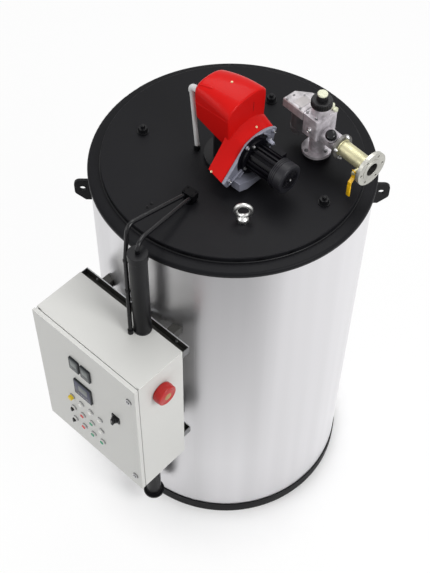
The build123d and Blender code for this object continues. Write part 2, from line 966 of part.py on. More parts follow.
# Door instruments: where each one sits and the opening that it needs in the door
small_meter_z = cabinet_h * small_meter_z_share
small_meters = [(small_meter_x + step * small_meter_pitch, small_meter_z) for step in range(2)]
pilots = {
    (column, row): (pilot_x + column * pilot_pitch_x, cabinet_h * pilot_z_share - row * pilot_pitch_z)
    for column in range(4)
    for row in range(3)
}
locks = [(cabinet_w - lock_in, z) for z in (cabinet_h - lock_drop, lock_low_z)]
small_body = (small_meter_w - meter_body_inset * 2, small_meter_h - meter_body_inset * 2)
main_body = (main_meter_w - meter_body_inset * 2, main_meter_h - meter_body_inset * 2)
meters = [(place, small_meter_w, small_meter_h, small_body) for place in small_meters]
meters += [((main_meter_x, cabinet_h * main_meter_z_share), main_meter_w, main_meter_h, main_body)]

with BuildPart(cabinet) as cabinet_door:
    with Locations((0, door_back_y, 0)):
        Box(cabinet_w, door_t, cabinet_h, align=(Align.CENTER, Align.MAX, Align.MIN))
    with Locations((0, door_back_y, door_sheet)):
        Box(
            cabinet_w - door_sheet * 2,
            door_t - door_sheet,
            cabinet_h - door_sheet * 2,
            align=(Align.CENTER, Align.MAX, Align.MIN),
            mode=Mode.SUBTRACT,
        )
    with Locations((cabinet_left, door_back_y, 0)):
        Box(
            hinge_in,
            hinge_relief,
            cabinet_h,
            align=(Align.MIN, Align.MAX, Align.MIN),
            mode=Mode.SUBTRACT,
        )
    for z in hinge_levels:
        with Locations((cabinet_left, door_skin_y, z)):
            Box(
                door_sheet * 2,
                door_t,
                hinge_arm_h + hinge_window_gap * 2,
                align=(Align.CENTER, Align.MIN, Align.CENTER),
                mode=Mode.SUBTRACT,
            )
        for ear_z in (z + ear_low, z - ear_low - hinge_ear_t):
            with BuildSketch(level(cabinet, ear_z, cabinet_left + door_sheet, door_skin_y)):
                Rectangle(hinge_ear_w, hinge_ear_w, align=Align.MIN)
                with Locations((hinge_x - cabinet_left - door_sheet, hinge_y - door_skin_y)):
                    Circle(hinge_pin_r + pin_play, mode=Mode.SUBTRACT)
            extrude(amount=hinge_ear_t)
    for place, w, h, body in meters:
        with BuildSketch(on_door(*place)):
            Rectangle(body[0] + pin_play * 2, body[1] + pin_play * 2)
        extrude(amount=-door_sheet, mode=Mode.SUBTRACT)
    round_openings = [(place, pilot_body_r) for place in pilots.values()]
    round_openings += [(place, lock_barrel_r) for place in locks]
    round_openings += [((selector_x, selector_z), selector_body_r)]
    for place, r in round_openings:
        with BuildSketch(on_door(*place)):
            Circle(r + pin_play)
        extrude(amount=-door_sheet, mode=Mode.SUBTRACT)
save(cabinet_door, "cabinet_door")


# Controllers: each has a bezel on the door with a sunk screen, and its case behind
with BuildPart() as controllers:
    for place, w, h, body in meters:
        with BuildSketch(on_door(*place)):
            RectangleRounded(w, h, meter_edge)
        extrude(amount=meter_proud)
        with BuildSketch(on_door(*place, door_front_y - meter_proud)):
            Rectangle(w - meter_screen_margin * 2, h - meter_screen_margin * 2)
        extrude(amount=-meter_screen_depth, mode=Mode.SUBTRACT)
        with BuildSketch(on_door(*place)):
            Rectangle(*body)
        extrude(amount=-meter_depth)
save(controllers, "controllers")

# Pilot lights and switches: bezels with their bodies behind the door, then the fronts by colour
with BuildPart() as pilot_bezels:
    for place in pilots.values():
        with BuildSketch(on_door(*place)):
            Circle(pilot_bezel_r)
        extrude(amount=pilot_bezel_t)
        with BuildSketch(on_door(*place)):
            Circle(pilot_body_r)
        extrude(amount=-pilot_body_l)
save(pilot_bezels, "pilot_bezels")

lenses = {
    "lenses_white": [(1, 0), (2, 0), (3, 0), (3, 1)],
    "lenses_red": [(1, 1), (1, 2)],
    "lenses_green": [(2, 1), (2, 2), (3, 2)],
}
for node, cells in lenses.items():
    with BuildPart() as lens:
        for cell in cells:
            with BuildSketch(on_door(*pilots[cell], door_front_y - pilot_bezel_t)):
                Circle(pilot_lens_r)
            extrude(amount=pilot_lens_h)
        fillet(lens.edges().group_by(Axis(cabinet.origin, cabinet.y_dir))[0], pilot_lens_edge)
    save(lens, node)

with BuildPart() as push_button:
    with BuildSketch(on_door(*pilots[0, 0], door_front_y - pilot_bezel_t)):
        Circle(button_r)
    extrude(amount=button_h)
    fillet(push_button.edges().sort_by(Axis(cabinet.origin, cabinet.y_dir))[0], pilot_lens_edge)
save(push_button, "push_button")

# Black switches on the door, the plate of the main selector, and the knob that turns on it
with BuildPart() as door_switches:
    for cell in ((0, 1), (0, 2)):
        with BuildSketch(on_door(*pilots[cell], door_front_y - pilot_bezel_t)):
            Circle(pilot_lens_r)
        extrude(amount=pilot_lens_h)
        with BuildSketch(on_door(*pilots[cell], door_front_y - pilot_bezel_t - pilot_lens_h)):
            Rectangle(switch_bar_w, pilot_lens_r * 2)
        extrude(amount=switch_bar_h)
    with BuildSketch(on_door(selector_x, selector_z)):
        RectangleRounded(selector_plate_w, selector_plate_w, meter_edge)
    extrude(amount=selector_plate_t)
    with BuildSketch(on_door(selector_x, selector_z)):
        Circle(selector_body_r)
    extrude(amount=-selector_body_l)
save(door_switches, "door_switches")

knob_face_y = door_front_y - selector_plate_t - turn_gap
with BuildPart() as selector_knob:
    with BuildSketch(on_door(selector_x, selector_z, knob_face_y)):
        Circle(selector_disc_r)
    extrude(amount=selector_disc_t)
    with BuildSketch(on_door(selector_x, selector_z, knob_face_y - selector_disc_t)):
        RectangleRounded(selector_bar_w, selector_bar_l, meter_edge)
    extrude(amount=selector_bar_h)
save(selector_knob, "selector_knob")

# Quarter-turn locks on the door's right side
with BuildPart() as door_locks:
    for place in locks:
        with BuildSketch(on_door(*place)):
            Circle(lock_r)
        extrude(amount=lock_t)
        with BuildSketch(on_door(*place, door_front_y - lock_t)):
            RegularPolygon(lock_key_r, 3)
        extrude(amount=-lock_key_depth, mode=Mode.SUBTRACT)
        with BuildSketch(on_door(*place)):
            Circle(lock_barrel_r)
        extrude(amount=-lock_barrel_l)
save(door_locks, "door_locks")

# Red sounder on the cabinet's right side
sounder_face = across(cabinet, cabinet_w / 2, -cabinet_d * sounder_deep_share, cabinet_h - sounder_drop)
with BuildPart() as sounder:
    with BuildSketch(sounder_face):
        Circle(sounder_foot_r)
    extrude(amount=sounder_foot_l)
    with BuildSketch(sounder_face.offset(sounder_foot_l)):
        Circle(sounder_r)
    extrude(amount=sounder_l - sounder_foot_l)
    fillet(sounder.edges().sort_by(Axis(cabinet.origin, cabinet.x_dir))[-1], sounder_edge)
save(sounder, "sounder")

# Cable riser on the cabinet's top with its cap, and the duct below the cabinet
cabinet_top_z = cabinet_z + cabinet_h
riser_foot = level(outward, cabinet_top_z, riser_out, riser_side)
riser_head = level(outward, riser_top_z - riser_collar_h, riser_out, riser_side)
with BuildPart() as cable_riser:
    with BuildSketch(riser_foot):
        Circle(riser_r)
        Circle(riser_r - riser_wall, mode=Mode.SUBTRACT)
    extrude(amount=riser_top_z - riser_cap_t - cabinet_top_z)
save(cable_riser, "cable_riser")

with BuildPart() as riser_cap:
    with BuildSketch(riser_head):
        Circle(riser_collar_r)
        Circle(riser_r + seat_gap, mode=Mode.SUBTRACT)
    extrude(amount=riser_collar_h)
    with BuildSketch(riser_head.offset(riser_collar_h)):
        Circle(riser_collar_r)
        Circle(conduit_r + pin_play, mode=Mode.SUBTRACT)
    extrude(amount=-riser_cap_t)
save(riser_cap, "riser_cap")

with BuildPart() as lower_duct:
    with BuildSketch(level(outward, cabinet_z, riser_out, riser_side)):
        Circle(riser_r)
        Circle(riser_r - riser_wall, mode=Mode.SUBTRACT)
    extrude(amount=duct_low_z - cabinet_z)
    with BuildSketch(level(outward, duct_low_z, riser_out, riser_side)):
        Circle(duct_flange_r)
        Circle(riser_r - riser_wall, mode=Mode.SUBTRACT)
    extrude(amount=duct_flange_t)
save(lower_duct, "lower_duct")

# Conduit fitting on the lid and the two conduits to the riser and the cabinet
fitting = Plane(
    origin=(fitting_x, fitting_y, deck_z),
    x_dir=around(fitting_heading).x_dir,
    z_dir=(0, 0, 1),
)
fitting_box_z = fitting_foot_t + fitting_stem_h
with BuildPart(fitting) as conduit_fitting:
    Cylinder(fitting_foot_r, fitting_foot_t, align=flat)
    Cylinder(fitting_stem_r, fitting_box_z, align=flat)
    with BuildSketch(level(fitting, fitting_box_z)):
        RectangleRounded(fitting_l, fitting_w, fitting_edge)
    extrude(amount=fitting_h)
save(conduit_fitting, "conduit_fitting")

left_foot = outward.from_local_coords((cabinet_back + left_foot_in, left_foot_side, cabinet_top_z))
with BuildPart(Plane(origin=left_foot)) as conduit_gland:
    Cylinder(gland_r, gland_h, align=flat)
save(conduit_gland, "conduit_gland")

conduit_z = fitting_box_z + fitting_h / 2
conduit_start = fitting_l / 2 - conduit_r
knee_z = deck_z + conduit_z + conduit_rise
conduit_routes = {
    "conduit_left": [
        fitting.from_local_coords((conduit_start, -conduit_apart / 2, conduit_z)),
        outward.from_local_coords((cabinet_back - left_knee_back, left_knee_side, knee_z)),
        outward.from_local_coords((riser_out, left_drop_side, knee_z - left_drop_fall)),
        left_foot + Vector(0, 0, gland_h / 2),
    ],
    "conduit_right": [
        fitting.from_local_coords((conduit_start, conduit_apart / 2, conduit_z)),
        outward.from_local_coords((cabinet_back - right_knee_back, right_knee_side, knee_z)),
        outward.from_local_coords((riser_out, riser_side, knee_z)),
        outward.from_local_coords((riser_out, riser_side, riser_top_z - riser_cap_t)),
    ],
}
for node, route in conduit_routes.items():
    with BuildPart() as conduit:
        with BuildLine() as conduit_line:
            FilletPolyline(*route, radius=(conduit_knee, conduit_bend))
        with BuildSketch(Plane(origin=route[0], z_dir=route[1] - route[0])):
            Circle(conduit_r)
        sweep(path=conduit_line.wire())
        add(conduit_fitting.part, mode=Mode.SUBTRACT)
        add(conduit_gland.part, mode=Mode.SUBTRACT)
    save(conduit, node)

# Rear connections: smoke outlet and two flanged oil nozzles, fitted to the jacket's curve
smoke_plane = across(around(rear_azimuth), 0, 0, smoke_z)
nozzle_planes = [across(around(rear_azimuth), 0, 0, z) for z in (nozzle_high_z, nozzle_low_z)]
with BuildPart() as smoke_outlet:
    with BuildSketch(smoke_plane):
        Circle(smoke_r)
        Circle(smoke_r - smoke_wall, mode=Mode.SUBTRACT)
    extrude(amount=jacket_r + smoke_reach)
    with BuildSketch(smoke_plane):
        Circle(smoke_band_r)
        Circle(smoke_r - smoke_wall, mode=Mode.SUBTRACT)
    extrude(amount=jacket_r + smoke_band_t)
    with BuildSketch(Plane.XY.offset(base_h)):
        Circle(jacket_r + seat_gap)
    extrude(amount=jacket_h, mode=Mode.SUBTRACT)
save(smoke_outlet, "smoke_outlet")

for node, nozzle_plane in zip(("flow_nozzle", "return_nozzle"), nozzle_planes):
    with BuildPart() as nozzle:
        with BuildSketch(nozzle_plane):
            Circle(nozzle_r)
        extrude(amount=jacket_r + nozzle_reach)
        with BuildSketch(nozzle_plane.offset(jacket_r + nozzle_root)):
            Circle(nozzle_bore_r)
        extrude(amount=nozzle_reach, mode=Mode.SUBTRACT)
        with BuildSketch(nozzle_plane.offset(jacket_r + nozzle_reach)):
            Circle(nozzle_flange_r)
            Circle(nozzle_r + seat_gap, mode=Mode.SUBTRACT)
            with PolarLocations(nozzle_pcd / 2, nozzle_bolts, start_angle=180 / nozzle_bolts):
                Circle(nozzle_bolt_r, mode=Mode.SUBTRACT)
        extrude(amount=-nozzle_flange_t)
        with BuildSketch(Plane.XY.offset(base_h)):
            Circle(jacket_r + seat_gap)
        extrude(amount=jacket_h, mode=Mode.SUBTRACT)
    save(nozzle, node)
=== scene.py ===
import json
import math

import bmesh
import bpy
from mathutils import Matrix, Vector
from mathutils.bvhtree import BVHTree


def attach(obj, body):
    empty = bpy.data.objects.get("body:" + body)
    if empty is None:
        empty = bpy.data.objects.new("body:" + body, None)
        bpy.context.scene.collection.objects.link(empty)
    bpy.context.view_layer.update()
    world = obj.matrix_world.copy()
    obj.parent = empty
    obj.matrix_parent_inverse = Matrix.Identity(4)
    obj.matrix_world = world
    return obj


# Looks of the upright boiler: finishes for every CAD piece, and the small pieces that the
# solids leave out. Metres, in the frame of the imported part: +Z up, the viewer on the -Y side.

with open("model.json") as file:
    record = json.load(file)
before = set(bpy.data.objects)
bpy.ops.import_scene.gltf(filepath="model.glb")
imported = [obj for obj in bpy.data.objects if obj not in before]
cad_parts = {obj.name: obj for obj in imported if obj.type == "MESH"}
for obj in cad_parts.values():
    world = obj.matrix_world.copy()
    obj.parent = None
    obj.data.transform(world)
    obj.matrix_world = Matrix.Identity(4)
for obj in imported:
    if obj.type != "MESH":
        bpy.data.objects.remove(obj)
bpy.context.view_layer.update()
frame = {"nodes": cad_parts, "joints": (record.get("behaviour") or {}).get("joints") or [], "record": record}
MM = 0.001
UP = Vector((0, 0, 1))
AHEAD = Vector((1, 0, 0))
WORLD = Matrix.Identity(4)

# The photograph's camera: where it stands, how it looks and its focal length
PHOTO_WIDTH, PHOTO_HEIGHT = 430, 573
CAMERA_PLACE = Vector((0, -3.2298, 5.34313))
CAMERA_YAW = -0.0202
CAMERA_PITCH = -0.9160
CAMERA_ROLL = 0.0165
FOCAL_PIXELS = 1122.118
SENSOR = 36

# Directions that the record gives for the cabinet and the gas train, and the burner's own
joints = {joint["name"]: joint for joint in frame["joints"]}
mounts = {mount["name"]: mount for mount in frame["record"]["mounts"]}
BURNER_TURN = math.radians(-42)


def mm(*sizes):
    """Sizes given in millimetres."""
    return tuple(size * MM for size in sizes)


# Camera


def add_object(name, data):
    """Object linked to the scene."""
    item = bpy.data.objects.new(name, data)
    bpy.context.scene.collection.objects.link(item)
    return item


def axes_at(origin, x, y, z):
    """Matrix of a frame from its origin and its three axes."""
    return Matrix.Translation(origin) @ Matrix((x, y, z)).transposed().to_4x4()


def make_camera():
    """Camera at the photograph's place, with its focal length on the long side."""
    ahead = Vector((
        math.sin(CAMERA_YAW) * math.cos(CAMERA_PITCH),
        math.cos(CAMERA_YAW) * math.cos(CAMERA_PITCH),
        math.sin(CAMERA_PITCH),
    ))
    level_right = ahead.cross(UP).normalized()
    level_up = level_right.cross(ahead)
    right = level_right * math.cos(CAMERA_ROLL) + level_up * math.sin(CAMERA_ROLL)
    above = level_up * math.cos(CAMERA_ROLL) - level_right * math.sin(CAMERA_ROLL)
    data = bpy.data.cameras.new("camera")
    data.sensor_width = SENSOR
    data.lens = FOCAL_PIXELS * SENSOR / PHOTO_HEIGHT
    camera = add_object("camera", data)
    camera.matrix_world = axes_at(CAMERA_PLACE, right, above, -ahead)
    bpy.context.scene.camera = camera
    return right, above, ahead


camera_right, camera_above, camera_ahead = make_camera()


# Places: local frames with x along a piece, z up, and what a node measures in them


def place_at(origin, x_dir, z_dir=UP):
    """Matrix of a local frame from its origin, its x direction and its z direction."""
    z = Vector(z_dir).normalized()
    x = Vector(x_dir)
    x = (x - z * x.dot(z)).normalized()
    return axes_at(Vector(origin), x, z.cross(x), z)


def at(place, x=0, y=0, z=0):
    """The frame moved along its own axes."""
    return place @ Matrix.Translation((x, y, z))


def facing(place, point, z_dir, x_dir=None):
    """Frame at a local point whose z points along a local direction."""
    turned = place.to_3x3()
    along = turned @ Vector(z_dir)
    side = turned @ Vector(x_dir) if x_dir else along.orthogonal()
    return place_at(place @ Vector(point), side, along)


def along_x(place, x, y=0, z=0):
    """Frame at a local point whose z points along the place's x."""
    return facing(place, (x, y, z), (1, 0, 0), (0, 0, 1))


class Box:
    """Lowest and highest corner of some points, with their middle and their spread."""

    def __init__(self, points):
        self.low = Vector([min(p[i] for p in points) for i in range(3)])
        self.high = Vector([max(p[i] for p in points) for i in range(3)])
        self.middle = (self.low + self.high) / 2
        self.size = self.high - self.low


def reach(place, *nodes):
    """Boxes of some CAD nodes in a local frame."""
    back = place.inverted()
    return [Box([back @ v.co for v in frame["nodes"][node].data.vertices]) for node in nodes]


inward = Vector(joints["selector_turn"]["axis"])
cabinet = place_at(joints["selector_turn"]["pos_m"], inward.cross(UP))
gas = place_at(mounts["gas_inlet_bolts"]["pos_m"], mounts["gas_inlet_bolts"]["axis"])
burner = place_at((0, 0, 0), (math.cos(BURNER_TURN), math.sin(BURNER_TURN), 0))

SEAT_SINK = 0.5 * MM
ISLAND_MERGE = 1e-5
surfaces = {}


def surface(node):
    """Search tree over a CAD node's faces."""
    if node not in surfaces:
        mesh = frame["nodes"][node].data
        points = [v.co.copy() for v in mesh.vertices]
        surfaces[node] = BVHTree.FromPolygons(points, [list(p.vertices) for p in mesh.polygons])
    return surfaces[node]


def seen_at(node, pixel):
    """Point and outward normal where the photograph's ray through a pixel meets a CAD node."""
    across = (pixel[0] - PHOTO_WIDTH / 2) / FOCAL_PIXELS
    over = (PHOTO_HEIGHT / 2 - pixel[1]) / FOCAL_PIXELS
    ray = (camera_ahead + camera_right * across + camera_above * over).normalized()
    point, normal, _, _ = surface(node).ray_cast(CAMERA_PLACE, ray)
    return point, normal


def seat(node, pixel, sink=SEAT_SINK):
    """Frame sunk a little in a CAD node at a pixel, with z along the outward normal."""
    point, normal = seen_at(node, pixel)
    return at(place_at(point, normal.orthogonal(), normal), z=-sink)


def islands(node):
    """Boxes, in the cabinet's frame, of the separate shapes that a CAD node holds."""
    bm = bmesh.new()
    bm.from_mesh(frame["nodes"][node].data)
    bmesh.ops.remove_doubles(bm, verts=bm.verts, dist=ISLAND_MERGE)
    back = cabinet.inverted()
    left, boxes = set(bm.verts), []
    for first in bm.verts:
        if first not in left:
            continue
        left.discard(first)
        shape, queue = [], [first]
        while queue:
            v = queue.pop()
            shape.append(back @ v.co)
            near = {e.other_vert(v) for e in v.link_edges} & left
            left -= near
            queue.extend(near)
        boxes.append(Box(shape))
    bm.free()
    return boxes


# Pieces: a bmesh becomes a named object on a body

MERGE = 1e-6
FINE_EDGE, THIN_EDGE, FACE_SINK = mm(0.4, 0.2, 0.2)
SHARP_ANGLE = math.radians(35)
SOCKET_INSET, SOCKET_DEPTH, SOCKET_EDGE = 0.42, 0.55, 0.06
WASHER_R, WASHER_TALL, WASHER_EDGE = 1.45, 0.22, 0.05
HEX_FOOT, HEX_TALL, HEX_EDGE = 0.2, 0.8, 0.1


def blanks(count):
    """Empty bmeshes, one for each piece that a function makes."""
    return [bmesh.new() for _ in range(count)]


def to_mesh(name, bm):
    """Mesh from a bmesh, which is freed."""
    mesh = bpy.data.meshes.new(name)
    bm.to_mesh(mesh)
    bm.free()
    return mesh


def finish_piece(name, bm, finish, body="boiler", clean=True):
    """Close a bmesh into a named piece that rides on a body."""
    if clean:
        bmesh.ops.remove_doubles(bm, verts=bm.verts, dist=MERGE)
        bmesh.ops.recalc_face_normals(bm, faces=bm.faces)
    mesh = to_mesh(name, bm)
    mesh.shade_smooth()
    mesh.set_sharp_from_angle(angle=SHARP_ANGLE)
    mesh.materials.append(finishes[finish])
    piece = add_object(name, mesh)
    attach(piece, body)


def edges_of(verts):
    """Edges that meet at some vertices."""
    return list({e for v in verts for e in v.link_edges})


def faces_of(verts):
    """Faces that meet at some vertices."""
    return list({f for v in verts for f in v.link_faces})


def round_edges(bm, edges, width, segments=2):
    """Bevel some edges with a plain round profile."""
    bmesh.ops.bevel(
        bm, geom=edges, offset=width, offset_type="OFFSET", segments=segments, profile=0.5,
        affect="EDGES", material=-1, clamp_overlap=True,
    )


def add_rod(bm, place, r, length, end_r=None, sides=32, edge=0.0):
    """Closed rod or cone from a place along its z, with its rims rounded."""
    verts = bmesh.ops.create_cone(
        bm, cap_ends=True, segments=sides, radius1=r, radius2=r if end_r is None else end_r,
        depth=length, matrix=at(place, z=length / 2),
    )["verts"]
    if edge:
        rims = [e for e in edges_of(verts) if any(len(f.verts) > 4 for f in e.link_faces)]
        round_edges(bm, rims, edge)
    return verts


def add_block(bm, place, size, edge):
    """Closed block standing on a place, centred on its x and y, with its edges rounded."""
    stretched = at(place, z=size[2] / 2) @ Matrix.Diagonal((*size, 1))
    round_edges(bm, edges_of(bmesh.ops.create_cube(bm, size=1, matrix=stretched)["verts"]), edge)


def spin_round(bm, geom, place, turns):
    """Turn an outline once about a place's z."""
    bmesh.ops.spin(
        bm, geom=geom, cent=place.translation, axis=place.to_3x3() @ UP, angle=math.tau,
        steps=turns, use_merge=True,
    )


def add_ring(bm, place, r, bar, turns=64, sides=8):
    """Closed ring of round bar about a place's z."""
    start = at(place, x=r) @ Matrix.Rotation(math.pi / 2, 4, "X")
    verts = bmesh.ops.create_circle(bm, segments=sides, radius=bar, matrix=start)["verts"]
    spin_round(bm, edges_of(verts) + verts, place, turns)


def add_turned(bm, place, profile, turns):
    """Closed shape turned about a place's z from a profile of (radius, height) points."""
    points = [bm.verts.new(place @ Vector((r, 0, z))) for r, z in profile]
    edges = [bm.edges.new(pair) for pair in zip(points, points[1:] + points[:1])]
    spin_round(bm, points + edges, place, turns)


def add_hex_bolt(bm, place, r, head):
    """Hexagon head on a washer."""
    add_rod(bm, place, r * WASHER_R, head * WASHER_TALL, sides=24, edge=head * WASHER_EDGE)
    add_rod(bm, at(place, z=head * HEX_FOOT), r, head * HEX_TALL, sides=6, edge=head * HEX_EDGE)


def add_socket_bolt(bm, place, r, head):
    """Cylinder head with a socket sunk in its top."""
    ends = [f for f in faces_of(add_rod(bm, place, r, head, sides=24)) if len(f.verts) > 4]
    back = place.inverted()
    top = max(ends, key=lambda f: (back @ f.calc_center_median()).z)
    inner = bmesh.ops.inset_region(bm, faces=[top], thickness=r * SOCKET_INSET)["faces"]
    sunk = (place.to_3x3() @ UP) * (-head * SOCKET_DEPTH)
    bmesh.ops.translate(bm, verts=top.verts, vec=sunk)
    round_edges(bm, list({e for f in inner for e in f.edges}), r * SOCKET_EDGE, 1)


def add_tube(bm, points, r, sides=8):
    """Closed round bar that follows a row of points."""
    places = []
    for i, point in enumerate(points):
        way = Vector(points[min(i + 1, len(points) - 1)]) - Vector(points[max(i - 1, 0)])
        side = places[-1].to_3x3().col[0] if places else way.orthogonal()
        places.append(place_at(point, side, way))
    ring = bmesh.ops.create_circle(bm, cap_ends=True, segments=sides, radius=r, matrix=places[0])
    edges = edges_of(ring["verts"])
    for before, after in zip(places, places[1:]):
        made = bmesh.ops.extrude_edge_only(bm, edges=edges)["geom"]
        verts = [g for g in made if isinstance(g, bmesh.types.BMVert)]
        bmesh.ops.transform(bm, matrix=after @ before.inverted(), verts=verts)
        edges = [g for g in made if isinstance(g, bmesh.types.BMEdge)]
    bmesh.ops.contextual_create(bm, geom=edges)


def on_circle(r, degrees):
    """Both legs of a point on a circle."""
    angle = math.radians(degrees)
    return r * math.cos(angle), r * math.sin(angle)


# Finishes

NODE_SETTINGS = ("node_tree", "operation", "data_type", "interpolation_type")
finishes = {}


def add_node(tree, kind, *feeds, **named):
    """Shader node whose inputs, in order or by name, are linked from sockets or set to values."""
    node = tree.nodes.new("ShaderNode" + kind)
    for setting in NODE_SETTINGS:
        if setting in named:
            setattr(node, setting, named.pop(setting))
    by_name = [(label.replace("_", " "), feed) for label, feed in named.items()]
    for key, feed in [*enumerate(feeds), *by_name]:
        if isinstance(feed, bpy.types.NodeSocket):
            tree.links.new(feed, node.inputs[key])
        else:
            node.inputs[key].default_value = feed
    return node


def new_group(name, inputs, outputs):
    """Shader group over a Vector, with its inputs' defaults; gives it and both ends' sockets."""
    group = bpy.data.node_groups.new(name, "ShaderNodeTree")
    for label, value in {"Vector": (0.0, 0.0, 0.0), **inputs}.items():
        kind = "NodeSocketFloat" if isinstance(value, float) else "NodeSocketVector"
        group.interface.new_socket(label, in_out="INPUT", socket_type=kind).default_value = value
    for label in outputs:
        group.interface.new_socket(label, in_out="OUTPUT", socket_type="NodeSocketFloat")
    given, out = group.nodes.new("NodeGroupInput"), group.nodes.new("NodeGroupOutput")
    return group, given.outputs, out.inputs


def make_mottle_group():
    """Broad cloudiness and fine grain from two noises over the object's own coordinates."""
    group, given, out = new_group(
        "mottle", {"Broad Scale": 4.0, "Grain Scale": 300.0}, ("Broad", "Grain")
    )
    for label, detail in (("Broad", 3.0), ("Grain", 2.0)):
        scale = given[label + " Scale"]
        noise = add_node(group, "TexNoise", Vector=given["Vector"], Scale=scale, Detail=detail)
        group.links.new(noise.outputs["Fac"], out[label])
    return group


def make_brush_group():
    """Fine lines, as a brush leaves them on rolled sheet, and broader bands."""
    group, given, out = new_group("brush_lines", {"Stretch": (260.0, 260.0, 1.5)}, ("Lines", "Bands"))
    drawn = add_node(group, "VectorMath", given["Vector"], given["Stretch"], operation="MULTIPLY")
    for label, scale in (("Lines", 1.0), ("Bands", 0.06)):
        noise = add_node(group, "TexNoise", Vector=drawn.outputs["Vector"], Scale=scale, Detail=3.0)
        group.links.new(noise.outputs["Fac"], out[label])
    return group


def make_bore_group():
    """1 inside a radius about an axis through a point, else 0."""
    group, given, out = new_group(
        "bore_mask", {"Middle": (0.0, 0.0, 0.0), "Axis": (1.0, 0.0, 0.0), "Radius": 0.03}, ("Mask",)
    )
    away = add_node(group, "VectorMath", given["Vector"], given["Middle"], operation="SUBTRACT")
    across = add_node(
        group, "VectorMath", away.outputs["Vector"], given["Axis"], operation="CROSS_PRODUCT"
    )
    far = add_node(group, "VectorMath", across.outputs["Vector"], operation="LENGTH")
    inside = add_node(group, "Math", far.outputs["Value"], given["Radius"], operation="LESS_THAN")
    group.links.new(inside.outputs["Value"], out["Mask"])
    return group


def make_painted_shade_group():
    """Mask for painted shade: 1 high up, inside a span of X with soft sides, and 0 away from it."""
    group, given, out = new_group(
        "painted_shade_mask",
        {"Start": -0.3, "Left": -0.1, "Right": 0.1, "End": 0.3, "Low": 0.0, "High": 2.0},
        ("Shade",),
    )
    split = add_node(group, "SeparateXYZ", given["Vector"])
    ramps = []
    for axis, start, end in (("X", "Start", "Left"), ("X", "End", "Right"), ("Z", "Low", "High")):
        ramp = add_node(
            group, "MapRange", interpolation_type="SMOOTHSTEP" if axis == "X" else "LINEAR",
            Value=split.outputs[axis], From_Min=given[start], From_Max=given[end],
        )
        ramps.append(ramp.outputs["Result"])
    total = ramps[0]
    for ramp in ramps[1:]:
        total = add_node(group, "Math", total, ramp, operation="MULTIPLY").outputs["Value"]
    group.links.new(total, out["Shade"])
    return group


PAINTED_SHADE_MASK = make_painted_shade_group()
MOTTLE = make_mottle_group()
BRUSH = make_brush_group()
BORE = make_bore_group()


class Finish:
    """A material in the making: its Principled shader's sockets and short ways to feed them."""

    def __init__(self, name, metallic=0.0, **plain):
        finishes[name] = bpy.data.materials.new(name)
        finishes[name].use_nodes = True
        self.tree = finishes[name].node_tree
        self.shader = self.tree.nodes["Principled BSDF"].inputs
        self.shader["Metallic"].default_value = metallic
        for socket, value in plain.items():
            self.shader[socket.replace("_", " ")].default_value = value
        self.coords = add_node(self.tree, "TexCoord").outputs["Object"]

    def group(self, tree, **values):
        """A shared effect over the object's own coordinates."""
        return add_node(self.tree, "Group", node_tree=tree, Vector=self.coords, **values).outputs

    def spread(self, source, low, high):
        """Map the middle part of a noise's range to a range of values."""
        ramp = add_node(
            self.tree, "MapRange", Value=source, From_Min=0.3, From_Max=0.7, To_Min=low, To_Max=high
        )
        return ramp.outputs["Result"]

    def feed(self, source, socket):
        """Link a source to one of the shader's sockets."""
        self.tree.links.new(source, self.shader[socket])

    def tint(self, source, dark, light):
        """Mix two colours by a noise, into the base colour."""
        share = self.spread(source, 0, 1)
        mix = add_node(
            self.tree, "Mix", data_type="RGBA", Factor=share, A=(*dark, 1), B=(*light, 1)
        )
        self.feed(mix.outputs["Result"], "Base Color")

    def lay_over(self, mask, colour):
        """Lay another colour over the base colour where a mask says."""
        under = self.shader["Base Color"].links[0].from_socket
        mix = add_node(self.tree, "Mix", data_type="RGBA", Factor=mask, A=under, B=(*colour, 1))
        self.feed(mix.outputs["Result"], "Base Color")

    def bump(self, source, depth, strength=1.0):
        """Raise the skin by a noise."""
        node = add_node(self.tree, "Bump", Distance=depth, Strength=strength, Height=source)
        self.feed(node.outputs["Normal"], "Normal")


def shade(colour, share):
    """A colour made darker or lighter by a share."""
    return tuple(min(1.0, c * (1 + share)) for c in colour)


def painted(name, colour, rough, vary=0.06, broad=40, sheen=0.25, coat=0.0, grain=420, depth=0.00005):
    """Paint, powder coat or moulded plastic: slight clouding, uneven gloss and a fine skin."""
    finish = Finish(name, Coat_Weight=coat, Coat_Roughness=0.08, Specular_IOR_Level=sheen)
    mottle = finish.group(MOTTLE, Broad_Scale=broad, Grain_Scale=grain)
    finish.tint(mottle["Broad"], shade(colour, -vary), shade(colour, vary))
    finish.feed(finish.spread(mottle["Broad"], rough * 0.88, rough * 1.12), "Roughness")
    finish.bump(mottle["Grain"], depth)


def brushed(name, colour, rough, stretch, vary=0.05):
    """Brushed or drawn metal, with its lines stretched along the axes."""
    finish = Finish(name, 1.0)
    brush = finish.group(BRUSH, Stretch=stretch)
    finish.tint(brush["Lines"], shade(colour, -vary), shade(colour, vary))
    finish.feed(finish.spread(brush["Bands"], rough * 0.8, rough * 1.2), "Roughness")
    finish.bump(brush["Lines"], 0.00002, 0.5)


SHEET_ROUGH = 0.33
# Broad bands along Z: partly the sheet's own tone, partly painted reflection
TONE_AND_REFLECTION_STRETCH = (2.6, 2.6, 0.06)
HAIR_STRETCH = (300, 300, 1.2)
CLOUDY = (0.18, 0.14)
# Painted shade inside the gas tube's bore
BORE_PAINTED_SHADE = (0.06, 0.058, 0.054)
BORE_R = 31 * MM
EVEN = Vector((1, 1, 1))
# Where the jacket gets painted shade: darker high up and across one side, standing in for dark reflections
# and shade
PAINTED_SHADE_SPAN = {"Start": -0.30, "Left": -0.12, "Right": 0.05, "End": 0.29, "Low": 0.5, "High": 2.7}


